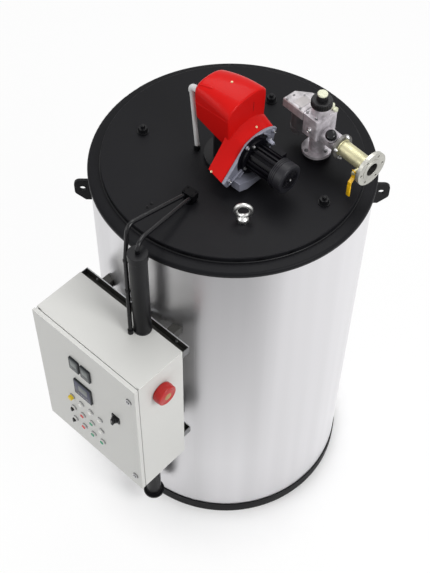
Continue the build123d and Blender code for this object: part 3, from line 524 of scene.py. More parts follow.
def banded(name, dark, light, painted_shade):
    """Rolled and brushed sheet: broad soft bands along Z, partly its own tone and partly painted reflection,
    hair lines over them, and painted shade high up on one side.
    """
    finish = Finish(name, 1.0)
    broad = finish.group(BRUSH, Stretch=TONE_AND_REFLECTION_STRETCH)
    brush = finish.group(BRUSH, Stretch=HAIR_STRETCH)
    finish.tint(broad["Lines"], dark, light)
    # Painted shade laid over the bands, high up on one side
    finish.lay_over(finish.group(PAINTED_SHADE_MASK, **PAINTED_SHADE_SPAN)["Shade"], painted_shade)
    finish.feed(finish.spread(brush["Lines"], SHEET_ROUGH * 0.9, SHEET_ROUGH * 1.1), "Roughness")
    finish.bump(brush["Lines"], 0.000006, 0.4)


def cast(name, colour, rough, metallic=0.3, grain=160, depth=0.0003, broad=14, vary=CLOUDY, bore=None):
    """Cast or plated metal: a grainy skin, cloudy tone and, where a bore is given, painted shade inside it.
    """
    finish = Finish(name, metallic)
    mottle = finish.group(MOTTLE, Broad_Scale=broad, Grain_Scale=grain)
    finish.tint(mottle["Broad"], shade(colour, -vary[0]), shade(colour, vary[1]))
    finish.feed(finish.spread(mottle["Grain"], rough * 0.8, rough * 1.25), "Roughness")
    finish.bump(mottle["Grain"], depth)
    if bore:
        place, radius = bore
        axis = place.to_3x3() @ AHEAD
        mask = finish.group(BORE, Middle=place.translation, Axis=axis, Radius=radius)
        finish.lay_over(mask["Mask"], BORE_PAINTED_SHADE)


painted("enamel_black", (0.006, 0.006, 0.0072), 0.46, 0.1, broad=3, sheen=0.085, grain=520)
painted("black_steel", (0.006, 0.006, 0.007), 0.36, 0.15, broad=20, sheen=0.14)
painted("burner_red", (0.50, 0.006, 0.005), 0.34, broad=3, sheen=0.07, coat=0.05, grain=240)
painted("dark_red", (0.20, 0.004, 0.004), 0.4, 0.08, broad=20, sheen=0.2)
painted("motor_black", (0.004, 0.0038, 0.0055), 0.28, 0.15, broad=12, sheen=0.07, grain=260)
# The cowl is black like the motor; its lighter colour is painted highlight for the light on its edge
painted("cowl_black_and_highlight", (0.011, 0.011, 0.014), 0.42, 0.12, broad=12, sheen=0.22, grain=300)
painted("white_hose", (0.62, 0.62, 0.62), 0.5, 0.05, broad=12, sheen=0.5)
painted("black_plastic", (0.008, 0.008, 0.009), 0.42, 0.1, broad=16, grain=700)
painted("conduit_black", (0.004, 0.004, 0.005), 0.25, 0.1, broad=16, sheen=0.3, grain=300)
painted("fitting_black", (0.0025, 0.0025, 0.003), 0.4, 0.1, broad=16, sheen=0.05)
painted("cream_plastic", (0.60, 0.61, 0.47), 0.4, broad=20, sheen=0.3)
painted("lever_yellow", (0.78, 0.45, 0.008), 0.38, 0.08, broad=30, coat=0.2)
painted("cabinet_grey", (0.575, 0.575, 0.555), 0.45, 0.02, broad=1.5, sheen=0.4, grain=620, depth=0.0001)
painted("meter_grey", (0.022, 0.025, 0.028), 0.45, 0.1)
painted("meter_face", (0.075, 0.085, 0.088), 0.4, 0.08)
painted("display_grey", (0.15, 0.165, 0.16), 0.35, 0.12, broad=60)
painted("display_blue", (0.04, 0.043, 0.085), 0.35, 0.15)
painted("key_grey", (0.30, 0.30, 0.30), 0.5, sheen=0.3)
painted("plate_white", (0.50, 0.475, 0.475), 0.4, broad=30, sheen=0.3)
painted("label_buff", (0.36, 0.24, 0.10), 0.5, 0.12, broad=60, sheen=0.3)
painted("lens_white", (0.74, 0.74, 0.71), 0.3, 0.03, sheen=0.5)
painted("lens_red", (0.60, 0.016, 0.02), 0.25, coat=0.2)
painted("lens_green", (0.012, 0.26, 0.13), 0.25, coat=0.2)
painted("button_yellow", (0.74, 0.53, 0.03), 0.35, 0.05, sheen=0.3)
painted("sounder_red", (0.42, 0.012, 0.011), 0.32, 0.1, broad=30, coat=0.25)

# The jacket: its bands are partly painted reflection, and its third colour is painted shade high up on one
# side
banded("jacket_steel", (0.60, 0.595, 0.607), (0.84, 0.83, 0.853), (0.215, 0.212, 0.218))
brushed("bright_steel", (0.62, 0.62, 0.62), 0.3, EVEN * 90)
brushed("dark_steel", (0.20, 0.20, 0.205), 0.38, EVEN * 90)
brushed("brass", (0.50, 0.42, 0.26), 0.38, EVEN * 90)
brushed("galvanised", (0.50, 0.51, 0.52), 0.45, EVEN * 40, vary=0.1)
brushed("eyebolt_steel", (0.56, 0.56, 0.55), 0.34, EVEN * 30)
brushed("chrome_trim", (0.50, 0.50, 0.51), 0.2, EVEN * 30)
brushed("outlet_steel", (0.52, 0.52, 0.53), 0.36, (200, 4, 200))

cast("cast_plate", (0.215, 0.22, 0.27), 0.5, 0.4)
cast("valve_casting", (0.51, 0.48, 0.51), 0.4, broad=34, vary=(0.45, 0.22))
cast("actuator_casting", (0.43, 0.41, 0.425), 0.46, broad=34, vary=(0.32, 0.2))
cast("canister_grey", (0.115, 0.115, 0.12), 0.42, 0.15, grain=220, depth=0.0001)
cast("zinc_yellow", (0.50, 0.475, 0.30), 0.45, 0.6, grain=60, depth=0.00004)
# The gas tube, with painted shade inside its bore
cast("zinc_tube", (0.50, 0.475, 0.30), 0.45, 0.6, grain=60, depth=0.00004, bore=(gas, BORE_R))
cast("flange_steel", (0.47, 0.465, 0.425), 0.4, 0.7, grain=120, depth=0.00006)
# Painted shade for the flange at the valve, which sits in shade
cast("flange_painted_shade", (0.12, 0.116, 0.11), 0.45, 0.6, grain=120, depth=0.0001)
# The rails are galvanised; this dark colour is painted shade for the shade in their channels
cast("rail_painted_shade", (0.045, 0.044, 0.04), 0.5, grain=200, depth=0.0001)

node_finishes = {
    "enamel_black": "base_pan top_rim lid",
    "jacket_steel": "jacket",
    "black_steel": "lid_nuts lifting_lug_right lifting_lug_left burner_neck hose_foot gas_stub"
    " flow_nozzle return_nozzle cable_riser riser_cap lower_duct conduit_gland",
    "burner_red": "burner_hood burner_scroll",
    "cast_plate": "motor_plate",
    "motor_black": "burner_motor",
    "cowl_black_and_highlight": "motor_cowl",
    "white_hose": "drain_hose hose_elbow",
    "valve_casting": "gas_valve",
    "actuator_casting": "valve_actuator",
    "canister_grey": "actuator_canister",
    "black_plastic": "valve_knob door_switches selector_knob",
    "conduit_black": "conduit_left conduit_right port_plug",
    "fitting_black": "conduit_fitting",
    "meter_grey": "controllers",
    "cream_plastic": "valve_cap",
    "zinc_tube": "gas_tube",
    "zinc_yellow": "lever_stem",
    "lever_yellow": "gas_lever",
    "cabinet_grey": "cabinet_body cabinet_door",
    "galvanised": "mounting_plate hinge_arms",
    "rail_painted_shade": "cabinet_rails",
    "eyebolt_steel": "eyebolt",
    "flange_steel": "tube_flanges",
    "chrome_trim": "pilot_bezels door_locks",
    "lens_white": "lenses_white",
    "lens_red": "lenses_red",
    "lens_green": "lenses_green",
    "button_yellow": "push_button",
    "sounder_red": "sounder",
    "outlet_steel": "smoke_outlet",
}

# Millimetres that the edges of a CAD piece are rounded by, where it isn't the usual width
USUAL_EDGE = 0.8
edge_widths = {
    "base_pan": 0, "lid": 0, "top_rim": 0, "eyebolt": 0, "drain_hose": 0.3, "jacket": 0.5,
    "cabinet_body": 1.5, "cabinet_door": 1.5, "valve_actuator": 2, "motor_plate": 2.5,
    "gas_valve": 2.5, "burner_hood": 4, "burner_scroll": 4,
}
EDGE_ANGLE = math.radians(38)
JOIN_GAP = 0.02 * MM
SHADED_FLANGE_X = -0.1


def dress(node, finish):
    """Give a CAD node its finish, with its hard edges lightly rounded for the light."""
    piece = frame["nodes"][node]
    piece.data.materials.clear()
    piece.data.materials.append(finishes[finish])
    piece.data.shade_smooth()
    piece.modifiers.new("weld", "WELD").merge_threshold = JOIN_GAP
    width = edge_widths.get(node, USUAL_EDGE)
    if width:
        edge = piece.modifiers.new("edge", "BEVEL")
        edge.width = width * MM
        edge.segments = 2
        edge.limit_method = "ANGLE"
        edge.angle_limit = EDGE_ANGLE
        edge.use_clamp_overlap = True
    normals = piece.modifiers.new("normals", "WEIGHTED_NORMAL")
    normals.weight = 80
    normals.keep_sharp = True


def paint_shade_on_near_flange():
    """The flange at the valve gets painted shade: the same casting as the one at the open end, coloured
    darker.
    """
    mesh = frame["nodes"]["tube_flanges"].data
    mesh.materials.append(finishes["flange_painted_shade"])
    back = gas.inverted()
    for face in mesh.polygons:
        if (back @ face.center).x < SHADED_FLANGE_X:
            face.material_index = 1


for finish, nodes in node_finishes.items():
    for node in nodes.split():
        dress(node, finish)
paint_shade_on_near_flange()


# Vessel: trims, seams and small screws

rim, lid, jacket = reach(WORLD, "top_rim", "lid", "jacket")
jacket_r = jacket.high.x
BEAD_BAR, BEAD_OUT, BEAD_DROP = mm(2.2, 1.2, 2.4)
GASKET_BAR, GASKET_OUT, GASKET_RISE = mm(3, 1.6, 2.2)
SEAM_AZIMUTHS = (math.radians(-104.2), math.radians(75.8))
SEAM_WIDTH, SEAM_THICK, SEAM_SINK = mm(20, 0.8, 0.2)
SEAM_FOOT, SEAM_HEAD = mm(1, 6)
SEAM_STEPS = 8
LUG_WELD_R, LUG_WELD_OUT = mm(3.2, 0.6)
LID_SCREW_PIXELS = ((147.5, 207.0), (151.5, 203.5))


def make_jacket_trims():
    """Bright bead under the rim, the lid's gasket, and the jacket's lapped seams."""
    bead, gasket, seams = blanks(3)
    under = at(WORLD, z=rim.low.z - BEAD_DROP)
    add_ring(bead, under, jacket_r + BEAD_OUT, BEAD_BAR, turns=160, sides=12)
    finish_piece("rim_bead", bead, "bright_steel")
    beside = at(WORLD, z=lid.low.z + GASKET_RISE)
    add_ring(gasket, beside, lid.high.x + GASKET_OUT, GASKET_BAR, turns=160, sides=12)
    finish_piece("lid_gasket", gasket, "black_plastic")
    foot = jacket.low.z + SEAM_FOOT
    tall = rim.low.z - SEAM_HEAD - foot
    half = SEAM_WIDTH / 2 / jacket_r
    strip = Matrix.Rotation(math.pi / 2, 4, "X") @ Matrix.Diagonal((SEAM_THICK, tall, 1, 1))
    for azimuth in SEAM_AZIMUTHS:
        out = Vector((math.cos(azimuth - half), math.sin(azimuth - half), 0))
        edge = place_at(out * (jacket_r - SEAM_SINK) + UP * foot, out)
        edge = at(edge, x=SEAM_THICK / 2, z=tall / 2) @ strip
        made = bmesh.ops.create_grid(seams, x_segments=1, y_segments=1, size=0.5, matrix=edge)
        bmesh.ops.spin(
            seams, geom=faces_of(made["verts"]), cent=(0, 0, 0), axis=UP, angle=half * 2,
            steps=SEAM_STEPS,
        )
    finish_piece("jacket_seams", seams, "jacket_steel")


def make_lug_welds():
    """Weld beads where the lifting lugs meet the jacket."""
    bm = bmesh.new()
    for name in ("lug_right", "lug_left"):
        out = Vector(mounts[name]["pos_m"])
        out.z = 0
        place = place_at((0, 0, 0), out)
        [lug] = reach(place, "lifting_" + name)
        for y in (lug.low.y, lug.high.y):
            heights = (lug.low.z, lug.middle.z, lug.high.z)
            points = [place @ Vector((jacket_r + LUG_WELD_OUT, y, z)) for z in heights]
            add_tube(bm, points, LUG_WELD_R, sides=10)
    finish_piece("lug_welds", bm, "black_steel")


def make_lid_screws():
    """Small black screws in the lid beside the cable fitting."""
    bm = bmesh.new()
    for pixel in LID_SCREW_PIXELS:
        place = seat("lid", pixel)
        add_rod(bm, place, r=7 * MM, length=2.5 * MM, sides=20, edge=FINE_EDGE)
        add_rod(bm, at(place, z=2.3 * MM), r=4.6 * MM, length=4 * MM, sides=6, edge=0.5 * MM)
    finish_piece("lid_screws", bm, "black_steel")


make_jacket_trims()
make_lug_welds()
make_lid_screws()


# Burner: cover screws, crease lip, slot, motor bolts, the cowl's grille and the cast plate

cowl, motor, hood = reach(burner, "motor_cowl", "burner_motor", "burner_hood")
motor_y, motor_z = cowl.middle.y, cowl.middle.z
cowl_r = cowl.size.y / 2
COVER_SCREWS = (
    ("burner_hood", (232.0, 82.0)), ("burner_scroll", (256.6, 127.0)), ("burner_scroll", (211.4, 171.6)),
)
HOOD_SLOT_PIXEL = (253.7, 106.4)
SLOT_SIZE = mm(46, 3.4, 1.2)
HOOD_RIB_PIXELS = ((199.5, 84.5), (204.0, 85.6), (208.5, 87.0), (213.0, 88.8))
CREASE_Z = 2.312
CREASE_START, CREASE_INSET, CREASE_R = mm(400, 4, 1.8)
CREASE_STEPS = 14


def make_hood_fittings():
    """Cover screws, the rib on the tail, the lip along the crease and the slot in the front."""
    screws, rib, lip, slot = blanks(4)
    for node, pixel in COVER_SCREWS:
        place = seat(node, pixel, 1 * MM)
        add_rod(screws, place, r=5 * MM, length=2 * MM, sides=24, edge=FINE_EDGE)
        add_socket_bolt(screws, at(place, z=1.8 * MM), r=3.4 * MM, head=2.6 * MM)
    finish_piece("hood_screws", screws, "brass")

    add_tube(rib, [seen_at("burner_hood", pixel)[0] for pixel in HOOD_RIB_PIXELS], 3.2 * MM, sides=12)
    finish_piece("hood_rib", rib, "burner_red")

    for side in (-1, 1):
        way = burner.to_3x3() @ Vector((0, -side, 0))
        points = []
        for i in range(CREASE_STEPS + 1):
            x = hood.low.x + CREASE_INSET + (hood.size.x - CREASE_INSET * 2) * i / CREASE_STEPS
            start = burner @ Vector((x, side * CREASE_START, CREASE_Z))
            points.append(surface("burner_hood").ray_cast(start, way)[0])
        add_tube(lip, [point for point in points if point], CREASE_R)
    finish_piece("hood_lip", lip, "burner_red")

    point, normal = seen_at("burner_hood", HOOD_SLOT_PIXEL)
    add_block(slot, at(place_at(point, UP, normal), z=-SEAT_SINK), SLOT_SIZE, FINE_EDGE)
    finish_piece("hood_slot", slot, "dark_red")


PLATE_BOLT_PIXELS = ((272.8, 130.6), (246.5, 147.6), (228.5, 180.5))
PLATE_EAR_PIXEL = (267.2, 139.2)
PLATE_FACE_X = 130 * MM
PLATE_RIBS = ((-172, 2082, -98, 2112), (-150, 2062, -88, 2094), (28, 2222, 62, 2190))
PLATE_RIB_WIDE, PLATE_RIB_TALL = mm(7, 12)
EAR_SIZE = mm(17, 25, 40)
EAR_IN, EAR_BOLT_OUT, EAR_BOLT_UP = mm(4, 4.2, 12)
MOTOR_WELL_R = 92 * MM
MOTOR_BOLT_R, MOTOR_FLANGE = mm(68, 15.8)
MOTOR_BOLT_TURNS = (15, 105, 195, 285)
GRILLE_RINGS = (14, 22, 30, 38)
GRILLE_SPOKES, SPOKE_REACH, GRILLE_BAR, GRILLE_SINK = 6, (8, 25, 43), *mm(1.5, 2.5)
COWL_RINGS, COWL_RING_BAR = (6, 14, 22), 1.2 * MM


def make_motor_fittings():
    """Motor flange bolts and the cowl's grille, rings and screw."""
    bolts, grille, screw = blanks(3)
    for turn in MOTOR_BOLT_TURNS:
        y, z = on_circle(MOTOR_BOLT_R, turn)
        point = (motor.low.x + MOTOR_FLANGE, motor_y + y, motor_z + z)
        add_hex_bolt(bolts, facing(burner, point, (1, 0, 0)), r=5.5 * MM, head=8 * MM)
    finish_piece("motor_bolts", bolts, "dark_steel")

    end = along_x(burner, cowl.high.x - GRILLE_SINK, motor_y, motor_z)
    for r in GRILLE_RINGS:
        add_ring(grille, end, r * MM, GRILLE_BAR, turns=48)
    for turn in range(GRILLE_SPOKES):
        spoke = end @ Matrix.Rotation(math.tau * turn / GRILLE_SPOKES, 4, "Z")
        add_tube(grille, [spoke @ Vector((x * MM, 0, 0)) for x in SPOKE_REACH], GRILLE_BAR)
    add_rod(grille, at(end, z=-2 * MM), r=10 * MM, length=4 * MM, edge=0.8 * MM)
    for x in COWL_RINGS:
        add_ring(grille, along_x(burner, cowl.low.x + x * MM, motor_y, motor_z), cowl_r, COWL_RING_BAR)
    finish_piece("cowl_grille", grille, "motor_black")

    add_socket_bolt(screw, at(end, z=1.8 * MM), r=4.5 * MM, head=2.5 * MM)
    finish_piece("cowl_screw", screw, "bright_steel")


def make_plate_fittings():
    """The cast plate's bolts on their bosses, its ribs and ear, and the dark well round the motor."""
    bosses, bolts, well = blanks(3)
    out = burner.to_3x3() @ AHEAD
    for pixel in PLATE_BOLT_PIXELS:
        boss = seat("motor_plate", pixel)
        add_rod(bosses, boss, r=9 * MM, length=8 * MM, end_r=8 * MM, sides=24, edge=0.8 * MM)
        add_socket_bolt(bolts, at(boss, z=7.6 * MM), r=5.5 * MM, head=6 * MM)
    for y0, z0, y1, z1 in PLATE_RIBS:
        start = burner @ Vector((PLATE_FACE_X, y0 * MM, z0 * MM))
        end = burner @ Vector((PLATE_FACE_X, y1 * MM, z1 * MM))
        rib = at(place_at((start + end) / 2, end - start, out), z=-1 * MM)
        add_block(bosses, rib, ((end - start).length, PLATE_RIB_WIDE, PLATE_RIB_TALL), 2 * MM)
    root = seat("motor_plate", PLATE_EAR_PIXEL).translation
    local = burner.inverted() @ root
    outward = burner.to_3x3() @ Vector((0, local.y - motor_y, local.z - motor_z))
    ear = place_at(root, outward, out)
    add_block(bosses, at(ear, x=-EAR_IN), EAR_SIZE, 3 * MM)
    top = place_at(at(ear, x=EAR_BOLT_OUT, z=EAR_BOLT_UP).translation, out, outward)
    add_socket_bolt(bolts, top, r=6 * MM, head=6 * MM)
    finish_piece("plate_bosses", bosses, "cast_plate")
    foot = along_x(burner, PLATE_FACE_X - SEAT_SINK, motor_y, motor_z)
    add_rod(well, foot, MOTOR_WELL_R, length=2.5 * MM, sides=96, edge=0.8 * MM)
    finish_piece("motor_well", well, "motor_black")
    finish_piece("plate_bolts", bolts, "dark_steel")


make_hood_fittings()
make_motor_fittings()
make_plate_fittings()


# Gas train: bolts, bare plate, small caps, knob ribs, raised face, beads and the lever's sleeve

knob, cap, actuator, canister = reach(
    gas, "valve_knob", "valve_cap", "valve_actuator", "actuator_canister"
)
flanges, tube, lever = reach(gas, "tube_flanges", "gas_tube", "gas_lever")
valve_x = knob.middle.x
knob_r, cap_r, canister_r, tube_r = knob.size.x / 2, cap.size.x / 2, canister.size.x / 2, tube.size.z / 2
# The valve's bolts: node, kind, radius and head, pixels
VALVE_BOLTS = (
    ("gas_valve", add_socket_bolt, mm(5.5, 6), ((316.7, 119.6), (307.5, 112.8))),
    ("gas_valve", add_hex_bolt, mm(6, 8), ((325.8, 151.4), (306.2, 150.6))),
    (
        "valve_actuator", add_socket_bolt, mm(4.4, 3.6),
        ((294.2, 95.2), (287.4, 99.0), (300.4, 108.6), (304.5, 95.6)),
    ),
)
CREAM_BOLT_PIXEL = (335.4, 110.2)
ACTUATOR_PLATE_PIXEL = (303.0, 101.5)
ACTUATOR_PLATE_SIZE = mm(46, 58, 1.2)
VALVE_PLUG_PIXEL = (309.4, 130.0)
SMALL_CAP_X, SMALL_CAP_Y = mm(14, 48)
KNOB_RIBS, KNOB_RIB_R, KNOB_RIB_TALL, KNOB_RIB_FOOT = 30, *mm(1.9, 22, 3)
CAP_RING, CAP_BAR = 0.62, 0.7
CAP_RING_BAR, CAP_RING_SINK, CAP_BAR_WIDE, CAP_BAR_TALL, CAP_BAR_SINK = mm(1.1, 0.6, 3, 1.4, 0.4)
CANISTER_BEAD_LOW, CANISTER_BEAD_HIGH, CANISTER_BEAD = mm(26, 20, 1.6)


def make_valve_fittings():
    """Bolts on the block, its foot and the actuator, the bare plate, the plug and the small caps."""
    bolts, label, plug, caps = blanks(4)
    for node, add_bolt, size, pixels in VALVE_BOLTS:
        for pixel in pixels:
            add_bolt(bolts, seat(node, pixel), *size)
    finish_piece("valve_bolts", bolts, "dark_steel")

    point, normal = seen_at("valve_actuator", ACTUATOR_PLATE_PIXEL)
    plate = place_at(point, gas.to_3x3() @ AHEAD, normal)
    add_block(label, at(plate, z=-FACE_SINK), ACTUATOR_PLATE_SIZE, FINE_EDGE)
    finish_piece("actuator_plate", label, "plate_white")

    place = seat("gas_valve", VALVE_PLUG_PIXEL, 1 * MM)
    add_rod(plug, place, r=11 * MM, length=6 * MM, edge=1 * MM)
    add_socket_bolt(plug, at(place, z=5.5 * MM), r=7 * MM, head=5 * MM)
    finish_piece("valve_plug", plug, "bright_steel")

    add_socket_bolt(caps, seat("gas_valve", CREAM_BOLT_PIXEL), r=11 * MM, head=10 * MM)
    foot = at(gas, valve_x + SMALL_CAP_X, SMALL_CAP_Y, actuator.high.z - SEAT_SINK)
    add_rod(caps, foot, r=11 * MM, length=22 * MM, edge=2 * MM)
    finish_piece("valve_caps", caps, "cream_plastic")


def make_valve_tops():
    """The knob's ribs, the mark on its cap, and the beads round the canister."""
    ribs, mark, beads = blanks(3)
    axis = at(gas, valve_x, 0, knob.low.z)
    for i in range(KNOB_RIBS):
        foot = at(axis, *on_circle(knob_r, 360 * i / KNOB_RIBS), KNOB_RIB_FOOT)
        add_rod(ribs, foot, KNOB_RIB_R, KNOB_RIB_TALL, sides=8, edge=0.5 * MM)
    add_ring(ribs, at(axis, z=2 * MM), knob_r - 0.6 * MM, 2 * MM)
    finish_piece("knob_ribs", ribs, "black_plastic")

    axis = at(gas, valve_x, 0, cap.high.z)
    add_ring(mark, at(axis, z=-CAP_RING_SINK), cap_r * CAP_RING, CAP_RING_BAR, turns=48)
    add_block(mark, at(axis, z=-CAP_BAR_SINK), (cap_r * CAP_BAR, CAP_BAR_WIDE, CAP_BAR_TALL), FINE_EDGE)
    finish_piece("cap_mark", mark, "cream_plastic")

    for z in (canister.low.z + CANISTER_BEAD_LOW, canister.high.z - CANISTER_BEAD_HIGH):
        place = at(gas, canister.middle.x, canister.middle.y, z)
        add_ring(beads, place, canister_r, CANISTER_BEAD, turns=56)
    finish_piece("canister_beads", beads, "canister_grey")


NUT_TURNS = (70, 160, 250, 340)
NUT_CIRCLE_R, NUT_FOOT = mm(48, 13.8)
RAISED_FACE = [
    mm(29, -0.3), mm(29, 1.2), mm(29.6, 1.8), mm(46.4, 1.8), mm(47, 1.2), mm(47, -0.3),
]
NEAR_WELD, FAR_WELD, WELD_OUT, WELD_R = mm(14.5, 16.5, 0.8, 2.8)
SLEEVE_EXTRA, SLEEVE_THICK, SLEEVE_LONG, SLEEVE_SHIFT = mm(1.6, 6.6, 60, 2)


def make_tube_fittings():
    """Nuts on the near flange, the raised face of the far one, the tube's welds, the lever's sleeve."""
    nuts, face, welds, sleeve = blanks(4)
    for turn in NUT_TURNS:
        y, z = on_circle(NUT_CIRCLE_R, turn)
        place = facing(gas, (flanges.low.x + NUT_FOOT, y, tube.middle.z + z), (1, 0, 0))
        add_hex_bolt(nuts, place, r=6 * MM, head=9 * MM)
        add_rod(nuts, at(place, z=8 * MM), r=3.4 * MM, length=5 * MM, sides=16, edge=0.6 * MM)
    finish_piece("tube_nuts", nuts, "bright_steel")

    add_turned(face, along_x(gas, flanges.high.x), RAISED_FACE, turns=72)
    finish_piece("flange_face", face, "flange_steel")

    for x in (flanges.low.x + NEAR_WELD, flanges.high.x - FAR_WELD):
        add_ring(welds, along_x(gas, x), tube_r + WELD_OUT, WELD_R, sides=10)
    finish_piece("tube_beads", welds, "zinc_yellow")

    foot = at(gas, lever.middle.x, lever.low.y + SLEEVE_SHIFT, lever.low.z - SLEEVE_SHIFT)
    add_block(sleeve, foot, (lever.size.x + SLEEVE_EXTRA, SLEEVE_THICK, SLEEVE_LONG), 2.4 * MM)
    finish_piece("lever_sleeve", sleeve, "lever_yellow", body="gas_lever")


make_valve_fittings()
make_valve_tops()
make_tube_fittings()


# Cabinet: lip, door flanges, displays, keys, collars, locks, marks, sounder rings and rail trims

door, shell, rails, arms = reach(
    cabinet, "cabinet_door", "cabinet_body", "cabinet_rails", "hinge_arms"
)
sounder, pointer = reach(cabinet, "sounder", "selector_knob")
hinge = cabinet.inverted() @ Vector(joints["door_hinge"]["pos_m"])
DOOR_GAP, SWING_GAP = mm(2.6, 1.2)
LIP_WIDE, LIP_OVERLAP, LIP_EDGE = mm(12, 0.3, 0.6)
FOLD_BACK, FOLD_FRONT, FOLD_DEEP, FOLD_OVERLAP = mm(4, 6, 4.2, 0.4)
FOLD_END, ARM_GAP = mm(1, 8)


def out_of_door(x, y, z):
    """Frame at a point in the cabinet's frame, with z out of the door's front and x along it."""
    return facing(cabinet, (x, y, z), (0, -1, 0), (1, 0, 0))


def add_bar(bm, xs, ys, zs, edge):
    """Block between two limits along each axis of the cabinet's frame."""
    place = at(cabinet, sum(xs) / 2, sum(ys) / 2, zs[0])
    add_block(bm, place, [high - low for low, high in (xs, ys, zs)], edge)


def make_body_lip():
    """Folded lip round the body's front, and flanges on the door's hinge side: a thin seam is left."""
    lip, door_flanges = blanks(2)
    swing = math.hypot(door.low.x - hinge.x, door.high.y - hinge.y) + SWING_GAP
    x0, x1 = hinge.x + swing, shell.high.x
    ys = (door.high.y + DOOR_GAP, shell.low.y + LIP_OVERLAP)
    z0, z1 = shell.low.z, shell.high.z
    for zs in ((z0, z0 + LIP_WIDE), (z1 - LIP_WIDE, z1)):
        add_bar(lip, (x0, x1), ys, zs, LIP_EDGE)
    for xs in ((x0, x0 + LIP_WIDE), (x1 - LIP_WIDE, x1)):
        add_bar(lip, xs, ys, (z0, z1), LIP_EDGE)
    finish_piece("body_lip", lip, "cabinet_grey", clean=False)

    xs = (hinge.x - FOLD_BACK, hinge.x + FOLD_FRONT)
    ys = (door.high.y - FOLD_OVERLAP, door.high.y + FOLD_DEEP)
    for zs in (
        (arms.high.z + ARM_GAP, door.high.z - FOLD_END), (door.low.z + FOLD_END, arms.low.z - ARM_GAP),
    ):
        add_bar(door_flanges, xs, ys, zs, FINE_EDGE)
    finish_piece("door_flanges", door_flanges, "cabinet_grey", body="door")


METER_EDGE = 5 * MM
MAIN_METER_WIDTH = 90 * MM
FACE_THICK, PANE_THICK, KEY_THICK, FACE_FRONT = mm(0.8, 0.6, 1.2, 0.5)
PANE_UP, KEY_DOWN, KEY_STEP, KEY_WIDE, KEY_TALL = 0.10, 0.30, 0.16, 0.09, 0.07


def make_controller_fronts():
    """Bare faces, display panes and small keys on the controllers."""
    faces, blue, panes, keys = blanks(4)
    for meter in islands("controllers"):
        wide, tall = meter.size.x, meter.size.z
        front = out_of_door(meter.middle.x, meter.low.y, meter.middle.z)
        if wide > MAIN_METER_WIDTH:
            face, pane_share, pane_shift, count = blue, (0.52, 0.40), 0.04, 4
        else:
            face, pane_share, pane_shift, count = faces, (0.62, 0.44), 0, 3
        inner = (wide - METER_EDGE * 2, tall - METER_EDGE * 2, FACE_THICK)
        add_block(face, at(front, z=-FACE_SINK), inner, THIN_EDGE)
        pane = at(front, wide * pane_shift, tall * PANE_UP, FACE_FRONT)
        add_block(panes, pane, (wide * pane_share[0], tall * pane_share[1], PANE_THICK), THIN_EDGE)
        for i in range(count):
            x = (i - (count - 1) / 2) * wide * KEY_STEP
            key = at(front, x, -tall * KEY_DOWN, FACE_FRONT)
            add_block(keys, key, (wide * KEY_WIDE, tall * KEY_TALL, KEY_THICK), 0.3 * MM)
    for name, bm, finish in (
        ("meter_faces", faces, "meter_face"), ("main_face", blue, "display_blue"),
        ("meter_panes", panes, "display_grey"), ("meter_keys", keys, "key_grey"),
    ):
        finish_piece(name, bm, finish, body="door")


COLLAR_WALL, COLLAR_TOP, COLLAR_EDGE, COLLAR_SINK = mm(1.6, 1, 0.5, 0.3)
COLLAR_SHORT = {"lenses_red": 2.6 * MM, "lenses_green": 2.6 * MM, "door_switches": 8 * MM}
RING_OUT, RING_BAR = mm(0.4, 0.8)
LOCK_WELL, LOCK_BAR = 0.3, 0.5
WELL_TALL, DRIVER_WIDE, DRIVER_TALL, DRIVER_FOOT = mm(0.8, 4, 1.4, 0.6)
LOCK_RING_OUT, LOCK_RING_MORE, LOCK_RING_BAR = mm(0.3, 0.4, 1.3)


def make_pilot_rings():
    """Grey gasket ring under each pilot device's bezel."""
    bm = bmesh.new()
    for bezel in islands("pilot_bezels"):
        under = out_of_door(bezel.middle.x, door.low.y - RING_OUT, bezel.middle.z)
        add_ring(bm, under, bezel.size.x / 2, RING_BAR, turns=32)
    finish_piece("pilot_rings", bm, "meter_face", body="door")


def make_device_collars():
    """Pale collar round each coloured lens and small switch, which leaves its front free."""
    bm = bmesh.new()
    for node, short in COLLAR_SHORT.items():
        for device in islands(node):
            r = min(device.size.x, device.size.z) / 2
            wall = r + COLLAR_WALL
            tall = door.low.y - device.low.y - short
            foot = out_of_door(device.middle.x, door.low.y + COLLAR_SINK, device.middle.z)
            profile = [(r, 0), (wall, 0), (wall, tall - COLLAR_EDGE), (r + COLLAR_TOP, tall), (r, tall)]
            add_turned(bm, foot, profile, turns=40)
    finish_piece("device_collars", bm, "lens_white", body="door")


def make_lock_faces():
    """Dark well, driver bar and foot ring of each quarter-turn lock."""
    wells, bars = blanks(2)
    for lock in islands("door_locks"):
        wide = lock.size.x
        face = out_of_door(lock.middle.x, lock.low.y + FACE_SINK, lock.middle.z)
        add_rod(wells, face, wide * LOCK_WELL, WELL_TALL, edge=THIN_EDGE)
        add_block(bars, at(face, z=DRIVER_FOOT), (DRIVER_WIDE, wide * LOCK_BAR, DRIVER_TALL), FINE_EDGE)
        foot = out_of_door(lock.middle.x, door.low.y - LOCK_RING_OUT, lock.middle.z)
        add_ring(wells, foot, wide / 2 + LOCK_RING_MORE, LOCK_RING_BAR, turns=40)
    finish_piece("lock_wells", wells, "meter_grey", body="door")
    finish_piece("lock_bars", bars, "chrome_trim", body="door")


MARK_SIZE, MARK_DOWN = mm(2, 14, 0.8), 12 * MM
SOUNDER_RINGS, SOUNDER_BAR, SOUNDER_SINK = (14, 20, 26), *mm(1.3, 0.4)
SOUNDER_FRONT_RINGS = ((0.74, 2), (0.52, 1.4))
SOUNDER_DISC = 0.36


def make_selector_mark():
    """Pale pointer line on the selector's bar."""
    bm = bmesh.new()
    place = out_of_door(pointer.middle.x, pointer.low.y, pointer.high.z - MARK_DOWN)
    add_block(bm, at(place, z=-FACE_SINK), MARK_SIZE, THIN_EDGE)
    finish_piece("selector_mark", bm, "plate_white", body="selector")


